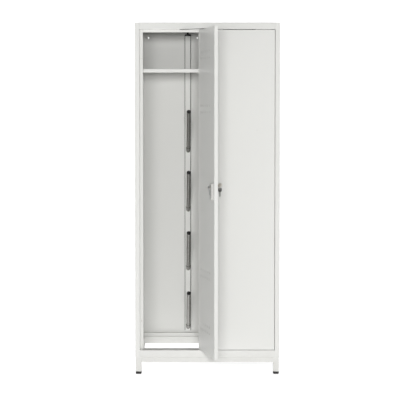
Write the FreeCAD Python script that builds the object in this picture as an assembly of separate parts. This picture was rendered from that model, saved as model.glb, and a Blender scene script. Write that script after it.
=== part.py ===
"""Two-bay steel ski locker on an open underframe, with boot-drying tubes.

Millimetres. The origin is on the floor, at the centre of the cabinet's footprint. +X is to the right
of a person who faces the doors, +Y goes to the back, +Z is up. Both doors hang on their right side.
The left door is modelled open against its stay, the right door closed.
"""
import FreeCAD
import Part
import math
import os

Vec = FreeCAD.Vector

# ---- overall size --------------------------------------------------------
cabinet_width = 800.0
cabinet_depth = 500.0
cabinet_height = 1950.0

# ---- sheet metal ---------------------------------------------------------
sheet = 1.0                 # gauge of every folded panel
fold_radius = 1.0           # inside radius of a fold
rear_fold = 15.0            # side panel's fold along the back edge
touch = 0.1                 # gap between two pieces of one body that slide together

# ---- front frame ---------------------------------------------------------
stile_face = 25.0
stile_return = 35.0         # depth of the stile's outer side
post_face = 44.0
top_rail_face = 36.0
bottom_rail_face = 40.5
rail_return = 28.0          # depth of a rail's outer shelf
rebate_clearance = 4.0      # behind the doors, in front of the flanges
flange_reach = 19.0         # width of the flange behind a door's edge
flange_lip = 8.0            # fold that stiffens the flange
top_flange_drop = 16.0      # the flange above the doors is lower than the others are wide
sill_depth = 70.0           # level top of the bottom rail
sill_fold = 12.0

# ---- underframe ----------------------------------------------------------
leg_size = 31.0
leg_wall = 1.5
leg_inset = 2.0
leg_corner = 2.0
underframe_top = 94.0
underframe_rail_height = 27.0
foot_cap_rim = 1.0          # how far a cap stands out round its leg
foot_cap_height = 15.0
foot_cap_edge = 3.0
foot_plug_length = 22.0
foot_plug_clearance = 0.2

# ---- floor rails of the body ---------------------------------------------
side_rail_width = 29.0
centre_rail_width = 30.0
rear_rail_depth = 26.0
rear_step_depth = 7.0
rear_step_height = 21.0

# ---- hat shelf -----------------------------------------------------------
shelf_drop = 253.0          # shelf's top below the roof
shelf_edge_height = 20.0
shelf_front_gap = 6.0       # shelf behind the flanges' lips
shelf_front_fold = 12.0
shelf_rear_fold = 12.0
duct_notch_clearance = 1.0
bracket_leg = 20.0
bracket_length = 30.0
bracket_inset = 60.0

# ---- wall fixing holes ---------------------------------------------------
wall_hole_radius = 4.5
wall_hole_drop = 54.0       # below the roof
wall_hole_side_inset = 56.0

# ---- doors ---------------------------------------------------------------
door_thickness = 20.0
door_gap_side = 2.5
door_gap_top = 3.5
door_gap_bottom = 2.5
door_return = 12.0          # fold of the outer skin behind the door's edge
hinge_edge_offset = 10.0    # pin axis from the door's hinge edge
hinge_depth = 8.0           # pin axis behind the door's front face
door_open_angle = 104.0
lock_channel_start = 262.0  # from the hinge edge
inner_skin_gap = 1.5
pin_radius = 4.0
pin_in_door = 30.0
pin_in_frame = 8.0
pin_hole_clearance = 0.2
pin_running_clearance = 0.05
pin_block_width = 16.0
pin_block_depth = 16.0
pin_block_height = 24.0
bush_wall = 1.9
bush_flange_radius = 7.5
bush_flange = 1.0
bush_length = 9.0

# ---- vent slots of the door's inner skin ---------------------------------
vent_width = 10.0
vent_height = 13.0
vent_first_column = 50.0    # from the hinge edge
vent_column_pitch = 48.0
vent_columns = 5
vent_row_pitch = 34.5
vent_group_insets = (141.0, 436.0)

# ---- rubber buffers ------------------------------------------------------
buffer_radius = 4.0
buffer_clearance = 0.6
buffer_end_inset = 160.0

# ---- door stay -----------------------------------------------------------
stay_pivot_reach = 102.0    # rivet on the door, from the hinge axis
stay_stud_reach = 112.0     # stud on the frame, from the hinge axis
stay_line_depth = 2.0       # both behind the hinge axis
stay_gauge = 1.5
stay_width = 12.0
stay_stud_radius = 3.0
stay_slot_clearance = 0.3
stay_end_margin = 5.0
stay_rivet_radius = 2.5
stay_rivet_head = 4.5
stay_rivet_head_height = 0.6
stay_shoulder_radius = 5.5
stay_shoulder_height = 0.7
stay_lift_clearance = 0.1

# ---- locks ---------------------------------------------------------------
lock_height = 1054.0
lock_edge_inset = 45.0
rosette_radius = 11.0
rosette_height = 2.0
lock_barrel_radius = 9.0
lock_hole_clearance = 0.3
lock_nut_flats = 24.0
lock_nut_height = 5.0
plug_radius = 6.0
plug_running_clearance = 0.05
plug_shaft_radius = 4.0
plug_shaft_length = 13.0
guard_width = 44.0
guard_above = 23.0
guard_below = 65.0
guard_depth = 11.0
guard_wall = 1.2
guard_edge = 3.0
barrel_stand_out = 1.5      # lock barrel past the guard
cam_gauge = 2.0
cam_width = 14.0
cam_root = 9.0
cam_length = 40.0
cam_crank_start = 10.0
cam_crank_end = 18.0
cam_tip_clearance = 1.5     # behind the frame's flange lip
cam_crank = 4.5
cam_nut_radius = 7.0
cam_nut_height = 4.0

# ---- keys ----------------------------------------------------------------
keyway_depth = 24.0
key_thickness = 1.8
key_blade_height = 6.6
key_clearance = 0.2
key_bow_radius = 11.0
key_bow_thickness = 2.0
key_bow_gap = 3.5           # bow in front of the rosette
key_hole_radius = 2.6
key_hole_rim = 2.4
ring_radius = 9.0
ring_wire_radius = 0.8
ring_turn = 45.0            # ring and spare key each hang turned by this much
spare_bow_width = 19.0
spare_bow_height = 22.0
spare_bow_thickness = 2.6
spare_bow_corner = 6.0
spare_hole_radius = 3.2
spare_hole_drop = 1.2
spare_blade_width = 7.0
spare_blade_length = 28.0
spare_blade_thickness = 2.0
spare_notch = 1.6
spare_notches = 4

# ---- drying ducts --------------------------------------------------------
duct_wall_inset = 112.5     # duct centre from the bay's right wall
duct_width = 31.0
duct_depth = 30.0
duct_bottom = 168.0
duct_top_drop = 35.0        # duct's top below the roof
seal_width = 3.0
seal_depth = 3.0
seal_clearance = 0.2
bottom_plug_height = 8.0
top_cap_height = 10.0       # the spigot's block, which closes the duct's upper end
spigot_radius = 5.5
spigot_bore = 4.0
grommet_wall = 2.0
grommet_lip = 2.0
grommet_lip_height = 1.5

# ---- boot tubes ----------------------------------------------------------
tube_radius = 11.3
tube_wall = 1.2
tube_count = 4
tube_shelf_gap = 218.0      # highest tube's tip below the shelf's edge
tube_first_height = 199.0   # where the lowest tube's axis meets the duct
tube_reach = 191.0          # tip in front of the duct
tube_rise = 216.0           # tip above the duct end
tube_lean = 5.0             # tip to the right of the duct end
tube_side_offset = 2.5
tube_inside_duct = 3.0
collar_wall = 2.2
collar_length = 14.0
collar_clearance = 0.1
cap_wall = 0.7
cap_length = 7.0
cap_plug_length = 10.0
cap_clearance = 0.1
cap_hole_radius = 1.8
cap_hole_ring = 5.5
cap_holes = 5

# ---- rivets --------------------------------------------------------------
rivet_radius = 3.5
rivet_crown_radius = 2.0
rivet_rim = 0.5
rivet_height = 1.2
rivet_rows = 9
rivet_end_inset = 60.0

# ---- worked out from the sizes above -------------------------------------
half = sheet / 2
left = -cabinet_width / 2
right = cabinet_width / 2
front = -cabinet_depth / 2
back = cabinet_depth / 2
roof_under = cabinet_height - sheet
opening_bottom = underframe_top + bottom_rail_face
opening_top = cabinet_height - top_rail_face
rebate_face = front + door_thickness + rebate_clearance
lip_back = rebate_face + flange_lip
return_back = front + rail_return
back_panel_front = back - 2 * sheet
flange_end = stile_face + flange_reach
post_flange_end = post_face / 2 + flange_reach
door_bottom = opening_bottom + door_gap_bottom
door_top = opening_top - door_gap_top
door_back = front + door_thickness
hinge_y = front + hinge_depth
duct_front = back_panel_front - duct_depth
duct_top = cabinet_height - duct_top_drop
shelf_top = cabinet_height - shelf_drop
wall_hole_height = cabinet_height - wall_hole_drop
highest_tube = shelf_top - shelf_edge_height - tube_shelf_gap - tube_rise
tube_pitch = (highest_tube - tube_first_height) / (tube_count - 1)
up = Vec(0, 0, 1)
SIDES = ("left", "right")


# ---- solids --------------------------------------------------------------
def block(x0, x1, y0, y1, z0, z1):
    """A box between two corners."""
    return Part.makeBox(x1 - x0, y1 - y0, z1 - z0, Vec(x0, y0, z0))


def rounded_block(x0, x1, y0, y1, z0, z1, radius, direction=up):
    """A box whose edges along one direction are rounded."""
    solid = block(x0, x1, y0, y1, z0, z1)
    edges = [e for e in solid.Edges if abs(abs(e.tangentAt(0).dot(direction)) - 1) < 1e-6]
    return solid.makeFillet(radius, edges)


def tube_block(x0, x1, y0, y1, z0, z1, wall, along):
    """A square tube with rounded corners and open ends, along X, Y or Z."""
    grow = {"x": (0, wall, wall), "y": (wall, 0, wall), "z": (wall, wall, 0)}[along]
    direction = {"x": Vec(1, 0, 0), "y": Vec(0, 1, 0), "z": up}[along]
    outside = rounded_block(x0, x1, y0, y1, z0, z1, leg_corner, direction)
    inside = block(x0 + grow[0], x1 - grow[0], y0 + grow[1], y1 - grow[1], z0 + grow[2], z1 - grow[2])
    return outside.cut(inside)


def rod(radius, start, end):
    """A round bar between two points."""
    run = end - start
    return Part.makeCylinder(radius, run.Length, start, run)


def left_of(direction):
    """A flat direction turned a quarter to the left."""
    return Vec(-direction.y, direction.x, 0)


def strip_side(points, centre_radius, shift):
    """One face of a folded strip: straight runs joined by tangent arcs, shifted off the centre line."""
    edges = []
    start = points[0] + left_of((points[1] - points[0]).normalize()) * shift
    cursor = start
    for before, corner, after in zip(points, points[1:], points[2:]):
        into = (corner - before).normalize()
        out = (after - corner).normalize()
        turn = math.atan2(into.cross(out).z, into.dot(out))
        side = math.copysign(1, turn)
        centre = corner - into * (centre_radius * math.tan(abs(turn) / 2))
        centre = centre + left_of(into) * (side * centre_radius)
        radius = centre_radius - side * shift
        arc_start = centre - left_of(into) * (side * radius)
        arc_end = centre - left_of(out) * (side * radius)
        middle = centre + (corner - centre).normalize() * radius
        edges.append(Part.LineSegment(cursor, arc_start).toShape())
        edges.append(Part.Arc(arc_start, middle, arc_end).toShape())
        cursor = arc_end
    end = points[-1] + left_of((points[-1] - points[-2]).normalize()) * shift
    edges.append(Part.LineSegment(cursor, end).toShape())
    return edges, start, end


def folded(points, length, gauge=sheet, radius=fold_radius):
    """A folded strip: its section's centre line runs through the points, extruded up."""
    flat = [Vec(u, v, 0) for u, v in points]
    centre_radius = radius + gauge / 2
    one, one_start, one_end = strip_side(flat, centre_radius, gauge / 2)
    other, other_start, other_end = strip_side(flat, centre_radius, -gauge / 2)
    pairs = [(one_start, other_start), (one_end, other_end)]
    caps = [Part.LineSegment(a, b).toShape() for a, b in pairs]
    outline = Part.Wire(Part.__sortEdges__(one + other + caps))
    return Part.Face(outline).extrude(Vec(0, 0, length))


def folded_up(points, z0, z1, gauge=sheet, radius=fold_radius):
    """A folded strip with its section in plan (X, Y), standing from z0 to z1."""
    solid = folded(points, z1 - z0, gauge, radius)
    solid.translate(Vec(0, 0, z0))
    return solid


def folded_across(points, x0, x1, gauge=sheet, radius=fold_radius):
    """A folded strip with its section in side view (Y, Z), lying from x0 to x1."""
    solid = folded(points, x1 - x0, gauge, radius)
    solid.translate(Vec(0, 0, x0))
    solid.rotate(Vec(0, 0, 0), Vec(1, 1, 1), 120)
    return solid


def folded_deep(points, y0, y1, gauge=sheet, radius=fold_radius):
    """A folded strip with its section in front view (X, Z), lying from y0 to y1."""
    solid = folded(points, y1 - y0, gauge, radius)
    solid.translate(Vec(0, 0, -y1))
    solid.rotate(Vec(0, 0, 0), Vec(1, 0, 0), 90)
    return solid


def mirrored(points, side):
    """A section's points, mirrored left to right for the right side of the cabinet."""
    sign = 1 if side == "left" else -1
    return [(sign * u, v) for u, v in points]


def save(name, shape):
    """Write one node's solids."""
    shape.exportStep("parts/" + name + ".step")


# ---- places --------------------------------------------------------------
def bay(side):
    """Clear inside width of a bay, from its left wall to its right wall."""
    return (left + sheet, -half) if side == "left" else (half, right - sheet)


def door_span(side):
    """The closed door's free edge and hinge edge."""
    if side == "left":
        return left + stile_face + door_gap_side, -post_face / 2 - door_gap_side
    return post_face / 2 + door_gap_side, right - stile_face - door_gap_side


def hinge_x(side):
    """The hinge axis in X."""
    return door_span(side)[1] - hinge_edge_offset


def lock_x(side):
    """The lock axis in X, on the closed door."""
    return door_span(side)[0] + lock_edge_inset


def duct_x(side):
    """The drying duct's centre in X."""
    return bay(side)[1] - duct_wall_inset + half


def tube_heights():
    """Where each boot tube's axis meets the duct."""
    return [tube_first_height + i * tube_pitch for i in range(tube_count)]


def hung(shape, side):
    """A door piece at rest: the left door stands open, the right door is closed."""
    if side == "left":
        shape.rotate(Vec(hinge_x(side), hinge_y, 0), up, door_open_angle)
    return shape


# ---- underframe ----------------------------------------------------------
def leg_corners():
    """The low corner of each leg: front left, front right, rear left, rear right."""
    xs = (left + leg_inset, right - leg_inset - leg_size)
    ys = (front + leg_inset, back - leg_inset - leg_size)
    return [(x, y) for y in ys for x in xs]


def make_underframe():
    """Four legs, their floor caps, the front rail and the side rails."""
    legs = []
    caps = []
    for x, y in leg_corners():
        leg = tube_block(x, x + leg_size, y, y + leg_size, foot_cap_height, underframe_top, leg_wall, "z")
        legs.append(leg)
        rim = foot_cap_rim
        foot = block(x - rim, x + leg_size + rim, y - rim, y + leg_size + rim, 0, foot_cap_height)
        foot = foot.makeFillet(foot_cap_edge, foot.Edges)
        inset = leg_wall + foot_plug_clearance
        plug_top = foot_cap_height + foot_plug_length
        plug = block(x + inset, x + leg_size - inset, y + inset, y + leg_size - inset,
                     foot_cap_height - foot_cap_edge, plug_top)
        seat = block(x, x + leg_size, y, y + leg_size, foot_cap_height - foot_cap_edge, foot_cap_height)
        caps.append(foot.fuse([seat.common(foot), plug]).removeSplitter())
    save("legs", Part.makeCompound(legs))
    save("foot_caps", Part.makeCompound(caps))
    x0 = left + leg_inset
    x1 = right - leg_inset
    y0 = front + leg_inset
    y1 = back - leg_inset
    z0 = underframe_top - underframe_rail_height
    across = tube_block(x0 + leg_size, x1 - leg_size, y0, y0 + leg_size, z0, underframe_top, leg_wall, "x")
    deep = [tube_block(x, x + leg_size, y0 + leg_size, y1 - leg_size, z0, underframe_top, leg_wall, "y")
            for x in (x0, x1 - leg_size)]
    save("underframe_front_rail", across)
    save("underframe_side_rails", Part.makeCompound(deep))


# ---- body ----------------------------------------------------------------
def make_stiles():
    """The front uprights: face, step back to the rebate, flange and stiffening lip."""
    section = [
        (left + half, front + stile_return),
        (left + half, front + half),
        (left + stile_face - half, front + half),
        (left + stile_face - half, rebate_face + half),
        (left + flange_end - half, rebate_face + half),
        (left + flange_end - half, lip_back),
    ]
    for side in SIDES:
        save(side + "_stile", folded_up(mirrored(section, side), underframe_top, roof_under))


def make_centre_post():
    """The hat-section upright between the doors, with a flange each way."""
    half_section = [
        (-post_flange_end + half, lip_back),
        (-post_flange_end + half, rebate_face + half),
        (-post_face / 2 + half, rebate_face + half),
        (-post_face / 2 + half, front + half),
    ]
    section = half_section + [(-u, v) for u, v in reversed(half_section)]
    save("centre_post", folded_up(section, opening_bottom, opening_top))


def bush_holes(z0, z1):
    """Round cutters for the hinge bushes in a rail."""
    radius = pin_radius + pin_running_clearance + bush_wall + touch
    return [rod(radius, Vec(hinge_x(s), hinge_y, z0), Vec(hinge_x(s), hinge_y, z1)) for s in SIDES]


def front_rail(section, web_z):
    """A rail between the stiles, cut back where the uprights' flanges run through."""
    rail = folded_across(section, left + stile_face, right - stile_face)
    z0 = underframe_top - 1
    z1 = cabinet_height + 1
    clear = [
        block(left, left + flange_end, rebate_face, back, z0, z1),
        block(right - flange_end, right, rebate_face, back, z0, z1),
        block(-post_flange_end, post_flange_end, rebate_face, back, z0, z1),
    ]
    return rail.cut(clear + bush_holes(web_z - 2 * sheet, web_z + 2 * sheet))


def make_front_rails():
    """Top and bottom rails of the front frame, and the studs that guide the door stays."""
    top_web = opening_top + half
    flange_low = opening_top - top_flange_drop + half
    top = [
        (return_back, roof_under - half),
        (front + half, roof_under - half),
        (front + half, top_web),
        (rebate_face + half, top_web),
        (rebate_face + half, flange_low),
        (lip_back, flange_low),
    ]
    stud_holes = []
    studs = []
    for side in SIDES:
        x, y = stay_stud_place(side)
        low = Vec(x, y, stay_bottom() + stay_gauge + stay_slot_clearance)
        stud = rod(stay_stud_radius, low, Vec(x, y, opening_top + sheet))
        head = rod(2 * stay_stud_radius, Vec(x, y, opening_top + sheet), Vec(x, y, opening_top + 3 * sheet))
        studs.append(stud.fuse(head).removeSplitter())
        hole_span = (Vec(x, y, opening_top - 1), Vec(x, y, opening_top + 2))
        stud_holes.append(rod(stay_stud_radius + touch, *hole_span))
    save("front_top_rail", front_rail(top, opening_top).cut(stud_holes))
    save("stay_studs", Part.makeCompound(studs))
    bottom_web = opening_bottom - half
    sill_back = front + sill_depth - half
    bottom = [
        (return_back, underframe_top + half),
        (front + half, underframe_top + half),
        (front + half, bottom_web),
        (sill_back, bottom_web),
        (sill_back, bottom_web - sill_fold),
    ]
    save("front_bottom_rail", front_rail(bottom, opening_bottom))


def make_panels():
    """Side panels, partition, back panel and roof."""
    side_section = [
        (left + half, front + stile_return),
        (left + half, back - half),
        (left + rear_fold, back - half),
    ]
    for side in SIDES:
        panel = folded_up(mirrored(side_section, side), underframe_top, roof_under)
        save(side + "_side_panel", panel)
    partition = block(-half, half, front + sheet, back_panel_front, opening_bottom, roof_under)
    rail_room = block(-1, 1, front, return_back, opening_top, cabinet_height)
    step_room = block(-1, 1, back_panel_front - rear_rail_depth, back, opening_bottom,
                      opening_bottom + rear_step_height)
    save("partition", partition.cut([rail_room, step_room]))
    x0 = left + sheet + fold_radius
    back_panel = block(x0, -x0, back_panel_front, back - sheet, underframe_top, roof_under)
    holes = []
    for side in SIDES:
        for x in (bay(side)[0] + wall_hole_side_inset, bay(side)[1] - wall_hole_side_inset):
            behind = Vec(x, back + 5, wall_hole_height)
            holes.append(rod(wall_hole_radius, Vec(x, back - 5, wall_hole_height), behind))
    save("back_panel", back_panel.cut(holes))
    roof = block(left, right, front, back, roof_under, cabinet_height)
    vents = []
    for side in SIDES:
        x, y = spigot_place(side)
        vent_radius = spigot_radius + grommet_wall + touch
        vents.append(rod(vent_radius, Vec(x, y, roof_under - 1), Vec(x, y, cabinet_height + 1)))
    save("roof_panel", roof.cut(vents))


def make_floor_rails():
    """Rails round the open floor, and the one under the partition."""
    rear_front = back_panel_front - rear_rail_depth
    rear = [
        (back_panel_front, underframe_top + half),
        (rear_front + half, underframe_top + half),
        (rear_front + half, opening_bottom - half),
        (rear_front + rear_step_depth, opening_bottom - half),
        (rear_front + rear_step_depth, opening_bottom + rear_step_height - half),
        (back_panel_front, opening_bottom + rear_step_height - half),
    ]
    save("rear_floor_rail", folded_across(rear, left + sheet, right - sheet))
    channel = [
        (left + sheet, underframe_top + half),
        (left + side_rail_width, underframe_top + half),
        (left + side_rail_width, opening_bottom - half),
        (left + sheet, opening_bottom - half),
    ]
    rails = [folded_deep(mirrored(channel, side), front + stile_return, rear_front) for side in SIDES]
    save("side_floor_rails", Part.makeCompound(rails))
    centre = [
        (-centre_rail_width / 2 + half, underframe_top),
        (-centre_rail_width / 2 + half, opening_bottom - half),
        (centre_rail_width / 2 - half, opening_bottom - half),
        (centre_rail_width / 2 - half, underframe_top),
    ]
    save("centre_floor_rail", folded_deep(centre, return_back, rear_front))


def make_shelves():
    """Hat shelves, notched round the ducts, on riveted angle brackets."""
    shelf_front = lip_back + shelf_front_gap
    web = shelf_top - half
    edge = shelf_top - shelf_edge_height + half
    section = [
        (shelf_front + shelf_front_fold, edge),
        (shelf_front + half, edge),
        (shelf_front + half, web),
        (back_panel_front - half, web),
        (back_panel_front - half, web - shelf_rear_fold),
    ]
    shelves = []
    brackets = []
    for side in SIDES:
        x0, x1 = bay(side)
        reach = duct_width / 2 + seal_width + duct_notch_clearance
        notch = block(duct_x(side) - reach, duct_x(side) + reach, duct_front - duct_notch_clearance,
                      back, shelf_top - 2 * shelf_edge_height, shelf_top + 1)
        shelves.append(folded_across(section, x0, x1).cut(notch))
        for wall, way in ((x0, 1), (x1, -1)):
            top = shelf_top - sheet - half
            upright = wall + way * half
            angle = [(upright, top - bracket_leg), (upright, top), (wall + way * bracket_leg, top)]
            for y in (shelf_front + bracket_inset, back - bracket_inset - bracket_length):
                brackets.append(folded_deep(angle, y, y + bracket_length))
    save("hat_shelves", Part.makeCompound(shelves))
    save("shelf_brackets", Part.makeCompound(brackets))


def make_rivets():
    """Low-headed rivets that hold the back panel to the side folds, on the outside."""
    rivets = []
    span = cabinet_height - underframe_top - 2 * rivet_end_inset
    outward = Vec(0, 1, 0)
    for x in (left + rear_fold / 2, right - rear_fold / 2):
        for row in range(rivet_rows):
            z = underframe_top + rivet_end_inset + span * row / (rivet_rows - 1)
            rim = Part.makeCylinder(rivet_radius, rivet_rim, Vec(x, back, z), outward)
            crown = Part.makeCone(rivet_radius, rivet_crown_radius, rivet_height - rivet_rim,
                                  Vec(x, back + rivet_rim, z), outward)
            rivets.append(rim.fuse(crown).removeSplitter())
    save("back_rivets", Part.makeCompound(rivets))


def make_buffers():
    """Rubber stops on the flanges, behind each door's free edge."""
    buffers = []
    for x in (left + stile_face + flange_reach / 2, post_face / 2 + flange_reach / 2):
        for z in (opening_bottom + buffer_end_inset, opening_top - buffer_end_inset):
            front_end = Vec(x, door_back + buffer_clearance, z)
            buffers.append(rod(buffer_radius, front_end, Vec(x, rebate_face, z)))
    save("door_buffers", Part.makeCompound(buffers))


def make_bushes():
    """Flanged plastic bushes in the rails, one above and one below each door."""
    bore = pin_radius + pin_running_clearance
    bushes = []
    for side in SIDES:
        for face, way in ((opening_top, 1), (opening_bottom, -1)):
            axis = [Vec(hinge_x(side), hinge_y, face + way * d) for d in (-bush_flange, 0, bush_length)]
            body = rod(bush_flange_radius, axis[0], axis[1]).fuse(rod(bore + bush_wall, axis[0], axis[2]))
            bushes.append(body.cut(rod(bore, axis[0], axis[2])).removeSplitter())
    save("hinge_bushes", Part.makeCompound(bushes))


# ---- doors ---------------------------------------------------------------
def make_outer_skin(side):
    """The door's outer pan: face, four edges, and the fold behind the long edges."""
    free, hinge = door_span(side)
    section = [
        (free + door_return, door_back - half),
        (free + half, door_back - half),
        (free + half, front + half),
        (hinge - half, front + half),
        (hinge - half, door_back - half),
        (hinge - door_return, door_back - half),
    ]
    pan = folded_up(section, door_bottom, door_top)
    ends = []
    for z in (door_bottom, door_top - sheet):
        ends.append(block(free + sheet, hinge - sheet, front + sheet, door_back - sheet, z, z + sheet))
    pan = pan.fuse(ends).removeSplitter()
    hx = hinge_x(side)
    lx = lock_x(side)
    pin_hole = pin_radius + pin_hole_clearance
    lock_hole = lock_barrel_radius + lock_hole_clearance
    bores = [
        rod(pin_hole, Vec(hx, hinge_y, door_bottom - 1), Vec(hx, hinge_y, door_bottom + 2)),
        rod(pin_hole, Vec(hx, hinge_y, door_top - 2), Vec(hx, hinge_y, door_top + 1)),
        rod(lock_hole, Vec(lx, front - 1, lock_height), Vec(lx, front + 2, lock_height)),
    ]
    save(side + "_door_outer_skin", hung(pan.cut(bores), side))


def vent_cutters(side):
    """Rounded slots: five across, in pairs of rows near the top and bottom of the door."""
    hinge = door_span(side)[1]
    radius = vent_width / 2
    straight = vent_height - vent_width
    middles = [door_bottom + i for i in vent_group_insets] + [door_top - i for i in vent_group_insets]
    cutters = []
    for middle in middles:
        for z in (middle - vent_row_pitch / 2, middle + vent_row_pitch / 2):
            for column in range(vent_columns):
                x = hinge - vent_first_column - column * vent_column_pitch
                low = z - straight / 2
                high = z + straight / 2
                flat = block(x - radius, x + radius, door_back - 6, door_back + 6, low, high)
                ends = [rod(radius, Vec(x, door_back - 6, h), Vec(x, door_back + 6, h)) for h in (low, high)]
                cutters.append(flat.fuse(ends))
    return cutters


def make_inner_skin(side):
    """The slotted inner panel, with a fold that reaches towards the outer skin at each long edge."""
    hinge = door_span(side)[1]
    plane = door_back - sheet - half
    depth = door_thickness - 3 * sheet
    edge = hinge - sheet - half - touch
    far = hinge - lock_channel_start + inner_skin_gap + half
    section = [(edge, plane - depth / 2), (edge, plane), (far, plane), (far, plane - depth / 2)]
    skin = folded_up(section, door_bottom + sheet + touch, door_top - sheet - touch)
    hx = hinge_x(side)
    reach = pin_block_width / 2 + touch
    room = []
    room_back = front + sheet + pin_block_depth + touch
    for z0, z1 in pin_block_spans():
        room.append(block(hx - reach, hx + reach + 1, front, room_back, z0 - 1, z1 + 1))
    save(side + "_door_inner_skin", hung(skin.cut(vent_cutters(side) + room), side))


def make_lock_channel(side):
    """The stiffening channel down the lock side of the door."""
    free, hinge = door_span(side)
    start = hinge - lock_channel_start
    plane = door_back - half
    section = [
        (start, plane - door_thickness / 2),
        (start, plane),
        (free + door_return + touch, plane),
    ]
    channel = folded_up(section, door_bottom + sheet + touch, door_top - sheet - touch)
    lx = lock_x(side)
    hole_radius = lock_barrel_radius + lock_hole_clearance
    hole = rod(hole_radius, Vec(lx, front, lock_height), Vec(lx, back, lock_height))
    save(side + "_door_lock_channel", hung(channel.cut(hole), side))


def pin_block_spans():
    """Height ranges of the blocks inside the door that hold the hinge pins."""
    low = door_bottom + sheet
    high = door_top - sheet
    return [(low, low + pin_block_height), (high - pin_block_height, high)]


def make_hinge_parts(side):
    """Hinge pins and the blocks that hold them, at both ends of the door."""
    hx = hinge_x(side)
    wide = pin_block_width / 2
    blocks = []
    for z0, z1 in pin_block_spans():
        body = block(hx - wide, hx + wide, front + sheet, front + sheet + pin_block_depth, z0, z1)
        bore = rod(pin_radius + pin_running_clearance, Vec(hx, hinge_y, z0 - 1), Vec(hx, hinge_y, z1 + 1))
        blocks.append(body.cut(bore))
    save(side + "_door_pin_blocks", hung(Part.makeCompound(blocks), side))
    spans = [(opening_bottom - pin_in_frame, door_bottom + pin_in_door),
             (door_top - pin_in_door, opening_top + pin_in_frame)]
    pins = [rod(pin_radius, Vec(hx, hinge_y, a), Vec(hx, hinge_y, b)) for a, b in spans]
    save(side + "_door_hinge_pins", hung(Part.makeCompound(pins), side))


# ---- door stay -----------------------------------------------------------
def stay_bottom():
    """Underside of the stay strap, above its rivet's shoulder."""
    return door_top + stay_shoulder_height + stay_lift_clearance


def stay_stud_place(side):
    """The stud on the frame that runs in the strap's slot."""
    return hinge_x(side) - stay_stud_reach, hinge_y + stay_line_depth


def stay_pivot_place(side, angle):
    """The strap's rivet on the door, with the door open by an angle in degrees."""
    place = Vec(hinge_x(side) - stay_pivot_reach, hinge_y + stay_line_depth, 0)
    turn = FreeCAD.Rotation(up, angle)
    centre = Vec(hinge_x(side), hinge_y, 0)
    return centre + turn.multVec(place - centre)


def stay_reach(side, angle):
    """Vector from the rivet to the stud, with the door open by an angle in degrees."""
    x, y = stay_stud_place(side)
    return Vec(x, y, 0) - stay_pivot_place(side, angle)


def make_stay(side):
    """A slotted strap, riveted to the door's top edge, that slides on the frame's stud."""
    shortest = stay_reach(side, 0).Length
    longest = stay_reach(side, door_open_angle).Length
    play = stay_stud_radius + stay_slot_clearance
    end = longest + play + stay_end_margin - stay_width / 2
    z0 = stay_bottom()
    z1 = z0 + stay_gauge
    wide = stay_width / 2
    strap = block(0, end, -wide, wide, z0, z1)
    strap = strap.fuse([rod(wide, Vec(x, 0, z0), Vec(x, 0, z1)) for x in (0, end)])
    slot = block(shortest, longest, -play, play, z0, z1)
    slot = slot.fuse([rod(play, Vec(x, 0, z0), Vec(x, 0, z1)) for x in (shortest, longest)])
    hole = rod(stay_rivet_radius + pin_running_clearance, Vec(0, 0, z0), Vec(0, 0, z1))
    strap = strap.removeSplitter().cut([slot, hole])
    angle = door_open_angle if side == "left" else 0.0
    reach = stay_reach(side, angle)
    strap.rotate(Vec(0, 0, 0), up, math.degrees(math.atan2(reach.y, reach.x)))
    strap.translate(stay_pivot_place(side, angle))
    save(side + "_stay_strap", strap)
    make_stay_rivet(side, z1)


def make_stay_rivet(side, strap_top):
    """The strap's rivet, with a shoulder that lifts the strap off the door."""
    foot = stay_pivot_place(side, 0) + Vec(0, 0, door_top)
    shoulder = foot + Vec(0, 0, stay_shoulder_height)
    head_low = stay_pivot_place(side, 0) + Vec(0, 0, strap_top + stay_lift_clearance)
    head_high = head_low + Vec(0, 0, stay_rivet_head_height)
    rivet = rod(stay_rivet_radius, foot, head_low)
    rivet = rivet.fuse([rod(stay_shoulder_radius, foot, shoulder), rod(stay_rivet_head, head_low, head_high)])
    save(side + "_stay_rivet", hung(rivet.removeSplitter(), side))


# ---- locks ---------------------------------------------------------------
def guard_back():
    """Back plane of the lock guard."""
    return door_back + guard_depth


def barrel_back():
    """Back end of the lock barrel."""
    return guard_back() + barrel_stand_out


def make_lock_housing(side):
    """Lock barrel with its front rosette, and the hexagon nut inside the door."""
    lx = lock_x(side)
    axis = Vec(0, 1, 0)
    rosette = rod(rosette_radius, Vec(lx, front - rosette_height, lock_height), Vec(lx, front, lock_height))
    rim = [e for e in rosette.Edges if abs(e.CenterOfMass.y - (front - rosette_height)) < 1e-6]
    rosette = rosette.makeFillet(rosette_height * 0.6, rim)
    barrel = rod(lock_barrel_radius, Vec(lx, front, lock_height), Vec(lx, barrel_back(), lock_height))
    bore_radius = plug_radius + plug_running_clearance
    bore = rod(bore_radius, Vec(lx, front - 5, lock_height), Vec(lx, back, lock_height))
    save(side + "_lock_housing", hung(rosette.fuse(barrel).removeSplitter().cut(bore), side))
    radius = lock_nut_flats / math.sqrt(3)
    corners = []
    for i in range(7):
        a = math.radians(60 * i)
        corners.append(Vec(lx + radius * math.cos(a), front + sheet, lock_height + radius * math.sin(a)))
    nut = Part.Face(Part.makePolygon(corners)).extrude(axis * lock_nut_height)
    hole = rod(lock_barrel_radius + touch, Vec(lx, front, lock_height), Vec(lx, back, lock_height))
    save(side + "_lock_nut", hung(nut.cut(hole), side))


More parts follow.
